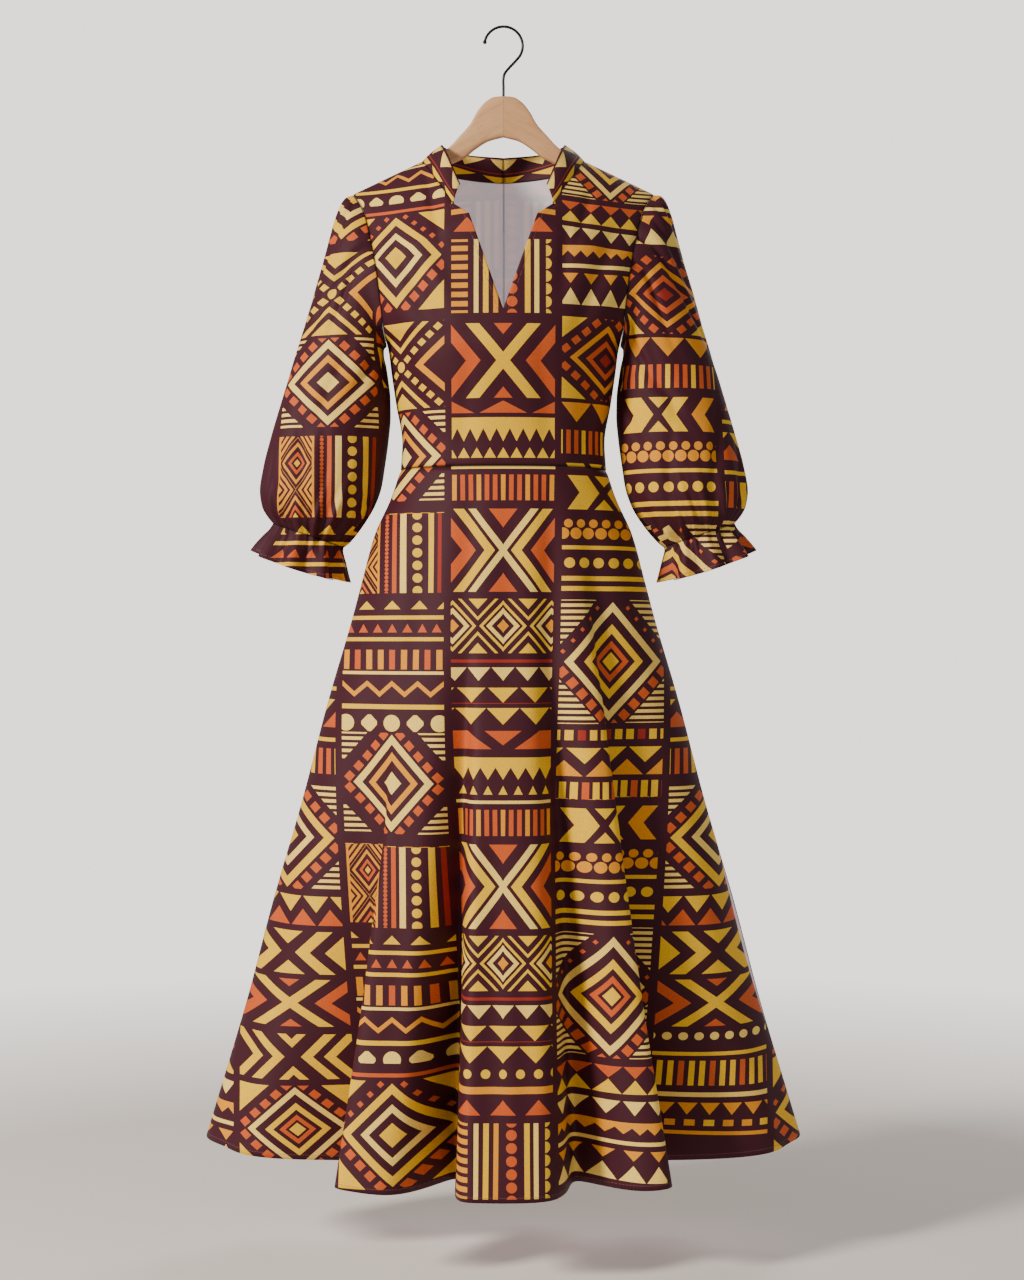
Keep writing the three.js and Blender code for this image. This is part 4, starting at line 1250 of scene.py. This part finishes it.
for face, facing in (("front", -1), ("back", 1)):
    degrees = np.linspace(-90, 90, SKIRT_COLUMNS + 1)[None, :]
    turn = np.radians(degrees)
    hem_z = HEM_Z + SIDE_HEM_RISE * np.sin(turn) ** 2
    down_share = np.linspace(0, 1, SKIRT_ROWS + 1)[:, None]
    top_z = WAIST_Z - SEAM_LINE
    z = top_z + (hem_z - top_z) * down_share
    half_width = follow(SKIRT, "z", "half_width", z)
    power = np.interp(-z, [-WAIST_Z, -HEM_Z], [SECTION_POWER, 2])
    section = np.clip(1 - np.abs(np.sin(turn)) ** power, 0, 1) ** (1 / power)
    waist_fade = np.clip((WAIST_Z - z) / 0.02, 0, 1)
    creases = crease_depth(half_width * np.sin(turn), z, SKIRT_CREASES[face]) * waist_fade
    tuck = SEAM_TUCK * np.exp(-(((WAIST_Z - z) / SEAM_TUCK_WIDTH) ** 2))
    reach = fold_reach(face, degrees, z) + creases + tuck
    depth = follow(SKIRT, "z", face, z) * section - reach * np.cos(turn)
    x = (half_width - reach) * np.sin(turn)
    grid = layers(x, facing * np.maximum(depth, SEAM_LINE), z)
    print_growth = 1 + (WAIST_Z - z) * HEM_PRINT_GAIN
    fold_shift = FOLD_PRINT_SHARE * reach * np.sign(turn)
    across = x * print_growth + fold_shift
    side_way = half_width * (math.pi / 2 - np.abs(turn)) * 0.6
    seam = np.minimum(WAIST_Z - z, side_way)
    down = (WAIST_Z - z) * print_growth
    places = layers(across, down, seam, z - hem_z + 0.0004)
    piece = cloth_mesh(f"skirt_{face}_cloth", [(grid, places, face == "back")])
    make_cloth(piece, f"skirt_{face}", cloth_faces)


# Hanger bar. Two halves of beech glued at the middle, sawn in a bell shape with long arms
# under the shoulders, rounded along their edges and clear lacquered.

BAR_TOP = table(
    "x z",
    (0, -0.089),
    (0.012, -0.090),
    (0.024, -0.097),
    (0.034, -0.109),
    (0.043, -0.125),
    (0.056, -0.140),
    (0.071, -0.156),
    (0.089, -0.169),
    (0.107, -0.1793),
    (0.145, -0.1973),
    (0.176, -0.2132),
    (0.184, -0.2180),
)
BAR_BOTTOM = table(
    "x z",
    (0, -0.142),
    (0.019, -0.147),
    (0.037, -0.158),
    (0.051, -0.169),
    (0.068, -0.177),
    (0.107, -0.199),
    (0.145, -0.217),
    (0.178, -0.232),
    (0.184, -0.2335),
)
BAR_LENGTH = 0.184
BAR_HALF_THICKNESS = 0.007
BAR_END_ROUND = 0.010
BAR_COLUMNS = 160
BAR_SECTION = 56
BAR_SECTION_POWER = 5.0
WOOD_PALE = linear(222, 176, 128)
WOOD_DARK = linear(196, 142, 94)
WOOD_FLECK = linear(140, 92, 56)
WOOD_PORE_SCALE = (60.0, 700.0, 700.0)


def solid_piece(name, rings, material):
    """A closed mesh through rings of points, with both ends filled."""
    count = rings.shape[1]
    number = np.arange(rings.shape[0] * count).reshape(rings.shape[:2])
    ahead = np.roll(number, -1, axis=1)
    quads = np.stack([number[:-1], ahead[:-1], ahead[1:], number[1:]], axis=-1).reshape(-1, 4)
    faces = quads.tolist() + [number[0][::-1].tolist(), number[-1].tolist()]
    mesh = bpy.data.meshes.new(name)
    mesh.from_pydata(rings.reshape(-1, 3).tolist(), [], faces)
    mesh.polygons.foreach_set("use_smooth", [True] * len(mesh.polygons))
    mesh.materials.append(material)
    piece = bpy.data.objects.new(name, mesh)
    bpy.context.scene.collection.objects.link(piece)
    shape = bmesh.new()
    shape.from_mesh(mesh)
    bmesh.ops.recalc_face_normals(shape, faces=shape.faces)
    shape.to_mesh(mesh)
    shape.free()
    return piece


def beech():
    """Beech under satin lacquer. The grain runs down each arm, the halves differ a little,
    and a fine joint shows between them."""
    material, shader, start = new_material("lacquered_beech", 0.40)
    place = start.node("ShaderNodeTexCoord", output=3)
    x, y, z = place.axes()
    right = x > 0.0
    along = abs(x) * 0.88 - z * 0.48 + right * 0.70
    across = abs(x) * 0.48 + z * 0.88
    grain_place = start.node("ShaderNodeCombineXYZ", inputs={0: along, 1: across, 2: y})
    stretched = start.node(
        "ShaderNodeMapping", inputs={"Vector": grain_place, "Scale": (7.0, 95.0, 60.0)}
    )
    grain = start.node(
        "ShaderNodeTexNoise", inputs={"Vector": stretched, "Scale": 1.0, "Detail": 6.0}
    )
    pores = start.node(
        "ShaderNodeMapping", inputs={"Vector": grain_place, "Scale": WOOD_PORE_SCALE}
    )
    fleck = start.node("ShaderNodeTexNoise", inputs={"Vector": pores, "Scale": 1.0, "Detail": 1.0})
    colour = mix(start, (grain * 2.2 - 0.60).most(0.0).least(1.0), WOOD_PALE, WOOD_DARK)
    colour = mix(start, right * 0.45, colour, WOOD_DARK)
    colour = mix(start, (fleck > 0.64) * 0.30, colour, WOOD_FLECK)
    joint = 1 - (abs(x) / 0.0005).least(1.0)
    colour = mix(start, joint * 0.65, colour, WOOD_FLECK)
    bump = {"Strength": 0.12, "Distance": 0.0003, "Height": grain + fleck - joint * 2}
    colour.feed(shader, "Base Color")
    start.node("ShaderNodeBump", inputs=bump).feed(shader, "Normal")
    (grain * 0.20 + 0.34).feed(shader, "Roughness")
    shader.inputs["Coat Weight"].default_value = 0.25
    shader.inputs["Coat Roughness"].default_value = 0.22
    return material


turns = np.linspace(-math.pi / 2, math.pi / 2, BAR_COLUMNS + 1)
bar_x = BAR_LENGTH * np.sin(turns)
end_way = BAR_LENGTH - np.abs(bar_x)
end_share = 1 - np.clip(end_way / BAR_END_ROUND, 0, 1)
shrink = np.maximum(np.sqrt(1 - end_share**2), 0.02)
top = follow(BAR_TOP, "x", "z", np.abs(bar_x))
bottom = follow(BAR_BOTTOM, "x", "z", np.abs(bar_x))
swing = np.linspace(0, 2 * math.pi, BAR_SECTION, endpoint=False)[None, :]
round_y = np.sign(np.cos(swing)) * np.abs(np.cos(swing)) ** (2 / BAR_SECTION_POWER)
round_z = np.sign(np.sin(swing)) * np.abs(np.sin(swing)) ** (2 / BAR_SECTION_POWER)
bar_rings = layers(
    bar_x[:, None],
    BAR_HALF_THICKNESS * (0.35 + 0.65 * shrink)[:, None] * round_y,
    ((top + bottom) / 2)[:, None] + ((top - bottom) / 2 * shrink)[:, None] * round_z,
)
bar = solid_piece("hanger_bar_wood", bar_rings, beech())
place_for(bar, "hanger_bar")


# Hook. Steel wire bent round the rail, brought back under its middle and driven into the
# top of the bar, with a rounded bead at its tip and black lacquer all over.

WIRE_RADIUS = 0.0018
HOOK_RADIUS = 0.025
HOOK_TIP_ANGLE = 175
HOOK_STEM_ANGLE = -52
HOOK_ANGLE_STEP = 20
STEM_BEND_X = 0.003
STEM_TOP_Z = -0.066
STEM_FOOT_Z = -0.0887
BEAD_RADIUS = 0.0027
WIRE_STEPS = 14
WIRE_SIDES = 24


def smooth_path(points, steps):
    """A smooth curve through points (x, z), with even steps between each pair."""
    points = np.array(points)
    padded = np.concatenate([[2 * points[0] - points[1]], points, [2 * points[-1] - points[-2]]])
    t = np.linspace(0, 1, steps, endpoint=False)[:, None]
    parts = []
    for a, b, c, d in zip(padded, padded[1:], padded[2:], padded[3:]):
        curve = 2 * b + (c - a) * t + (2 * a - 5 * b + 4 * c - d) * t**2
        parts.append((curve + (3 * b - a - 3 * c + d) * t**3) / 2)
    return np.concatenate(parts + [points[-1:]])


def black_wire():
    """Black lacquer, a little uneven and worn."""
    material, shader, start = new_material("black_wire", 0.32)
    place = start.node("ShaderNodeTexCoord", output=3)
    wear = start.node("ShaderNodeTexNoise", inputs={"Vector": place, "Scale": 160.0, "Detail": 3.0})
    mix(start, wear * 0.6, linear(20, 19, 21), linear(54, 51, 53)).feed(shader, "Base Color")
    (wear * 0.25 + 0.22).feed(shader, "Roughness")
    shader.inputs["Metallic"].default_value = 0.6
    return material


centre_z = WIRE_RADIUS - HOOK_RADIUS
hook_points = [
    (HOOK_RADIUS * math.cos(math.radians(a)), centre_z + HOOK_RADIUS * math.sin(math.radians(a)))
    for a in range(HOOK_TIP_ANGLE, HOOK_STEM_ANGLE, -HOOK_ANGLE_STEP)
]
hook_points.append((STEM_BEND_X, (centre_z - HOOK_RADIUS + STEM_TOP_Z) / 2))
hook_points.append((0, STEM_TOP_Z))
hook_points.append((0, (STEM_TOP_Z + STEM_FOOT_Z) / 2))
hook_points.append((0, STEM_FOOT_Z))
path = smooth_path(hook_points, WIRE_STEPS)
tangent = np.gradient(path, axis=0)
tangent /= np.linalg.norm(tangent, axis=1, keepdims=True)
run = np.concatenate([[0], np.linalg.norm(np.diff(path, axis=0), axis=1).cumsum()])
bead = np.sqrt(np.clip(BEAD_RADIUS**2 - (run - BEAD_RADIUS) ** 2, 0, None))
radius = np.where(run < BEAD_RADIUS, bead, np.maximum(bead, WIRE_RADIUS))[:, None]
radius = np.maximum(radius, 0.0002)
swing = np.linspace(0, 2 * math.pi, WIRE_SIDES, endpoint=False)[None, :]
hook_rings = layers(
    path[:, :1] - tangent[:, 1:] * radius * np.cos(swing),
    radius * np.sin(swing),
    path[:, 1:] + tangent[:, :1] * radius * np.cos(swing),
)
hook = solid_piece("hanger_hook_wire", hook_rings, black_wire())
place_for(hook, "hanger_hook")


# Studio. A pale floor that fades into the pale surroundings, a large soft window light from
# the upper left, and weaker light from the right and from behind.

FLOOR_Z = -1.58
FLOOR_HALF = 3.0
FLOOR_FADE = (1.0, 2.6)
SURROUNDINGS = (*linear(238, 231, 226), 1)
LIT_STRENGTH = 0.42
SEEN_STRENGTH = 2.3

floor_mesh = bpy.data.meshes.new("floor")
floor_mesh.from_pydata(
    [(x * FLOOR_HALF, y * FLOOR_HALF, FLOOR_Z) for x, y in ((-1, -1), (1, -1), (1, 1), (-1, 1))],
    [],
    [(0, 1, 2, 3)],
)
floor = bpy.data.objects.new("floor", floor_mesh)
bpy.context.scene.collection.objects.link(floor)
floor_material, floor_shader, start = new_material("pale_floor", 0.8)
floor_shader.inputs["Base Color"].default_value = (*linear(232, 225, 219), 1)
floor_x, floor_y, _ = start.node("ShaderNodeTexCoord", output=3).axes()
away = start.math("SQRT", floor_x * floor_x + floor_y * floor_y)
gone = ((away - FLOOR_FADE[0]) / (FLOOR_FADE[1] - FLOOR_FADE[0])).most(0.0).least(1.0)
clear = start.node("ShaderNodeBsdfTransparent")
plain = Shade(start.tree, floor_shader.outputs[0])
blend = start.node("ShaderNodeMixShader", inputs={0: gone, 1: plain, 2: clear})
blend.feed(start.tree.nodes["Material Output"], "Surface")
floor_mesh.materials.append(floor_material)

world = bpy.data.worlds.new("studio")
world.use_nodes = True
bpy.context.scene.world = world
sky = Shade(world.node_tree, None)
lit = sky.node("ShaderNodeBackground", inputs={0: SURROUNDINGS, 1: LIT_STRENGTH})
seen = sky.node("ShaderNodeBackground", inputs={0: SURROUNDINGS, 1: SEEN_STRENGTH})
looked_at = sky.node("ShaderNodeLightPath")
surroundings = sky.node("ShaderNodeMixShader", inputs={0: looked_at, 1: lit, 2: seen})
surroundings.feed(world.node_tree.nodes["World Output"], "Surface")


def area_light(name, place, target, size, power, colour):
    light = bpy.data.lights.new(name, "AREA")
    light.shape = "DISK"
    light.size = size
    light.energy = power
    light.color = colour
    lamp = bpy.data.objects.new(name, light)
    lamp.location = place
    lamp.rotation_mode = "QUATERNION"
    lamp.rotation_quaternion = (Vector(target) - Vector(place)).to_track_quat("-Z", "Y")
    bpy.context.scene.collection.objects.link(lamp)


area_light("window", (-3.0, -2.4, 0.9), (0, 0, -0.8), 0.9, 235, (1.0, 0.94, 0.85))
area_light("fill", (2.8, -2.4, 0.0), (0, 0, -0.8), 2.5, 10, (0.95, 0.97, 1.0))
area_light("back", (1.2, 2.8, 1.4), (0, 0, -0.7), 2.0, 45, (1.0, 0.98, 0.95))


# Camera at the photograph's straight front view

PHOTO_WIDTH = 1024
PHOTO_HEIGHT = 1280
METRES_PER_PIXEL = 0.0013
HOOK_TOP_PIXEL = (503.5, 28)
CAMERA_DISTANCE = 3.2

camera_data = bpy.data.cameras.new("camera")
camera_data.sensor_fit = "VERTICAL"
camera_data.sensor_height = 36
camera_data.lens = camera_data.sensor_height * CAMERA_DISTANCE / (PHOTO_HEIGHT * METRES_PER_PIXEL)
camera = bpy.data.objects.new("camera", camera_data)
camera.location = (
    (PHOTO_WIDTH / 2 - HOOK_TOP_PIXEL[0]) * METRES_PER_PIXEL,
    -CAMERA_DISTANCE,
    (HOOK_TOP_PIXEL[1] - PHOTO_HEIGHT / 2) * METRES_PER_PIXEL,
)
camera.rotation_euler = (math.pi / 2, 0, 0)
bpy.context.scene.collection.objects.link(camera)
bpy.context.scene.camera = camera
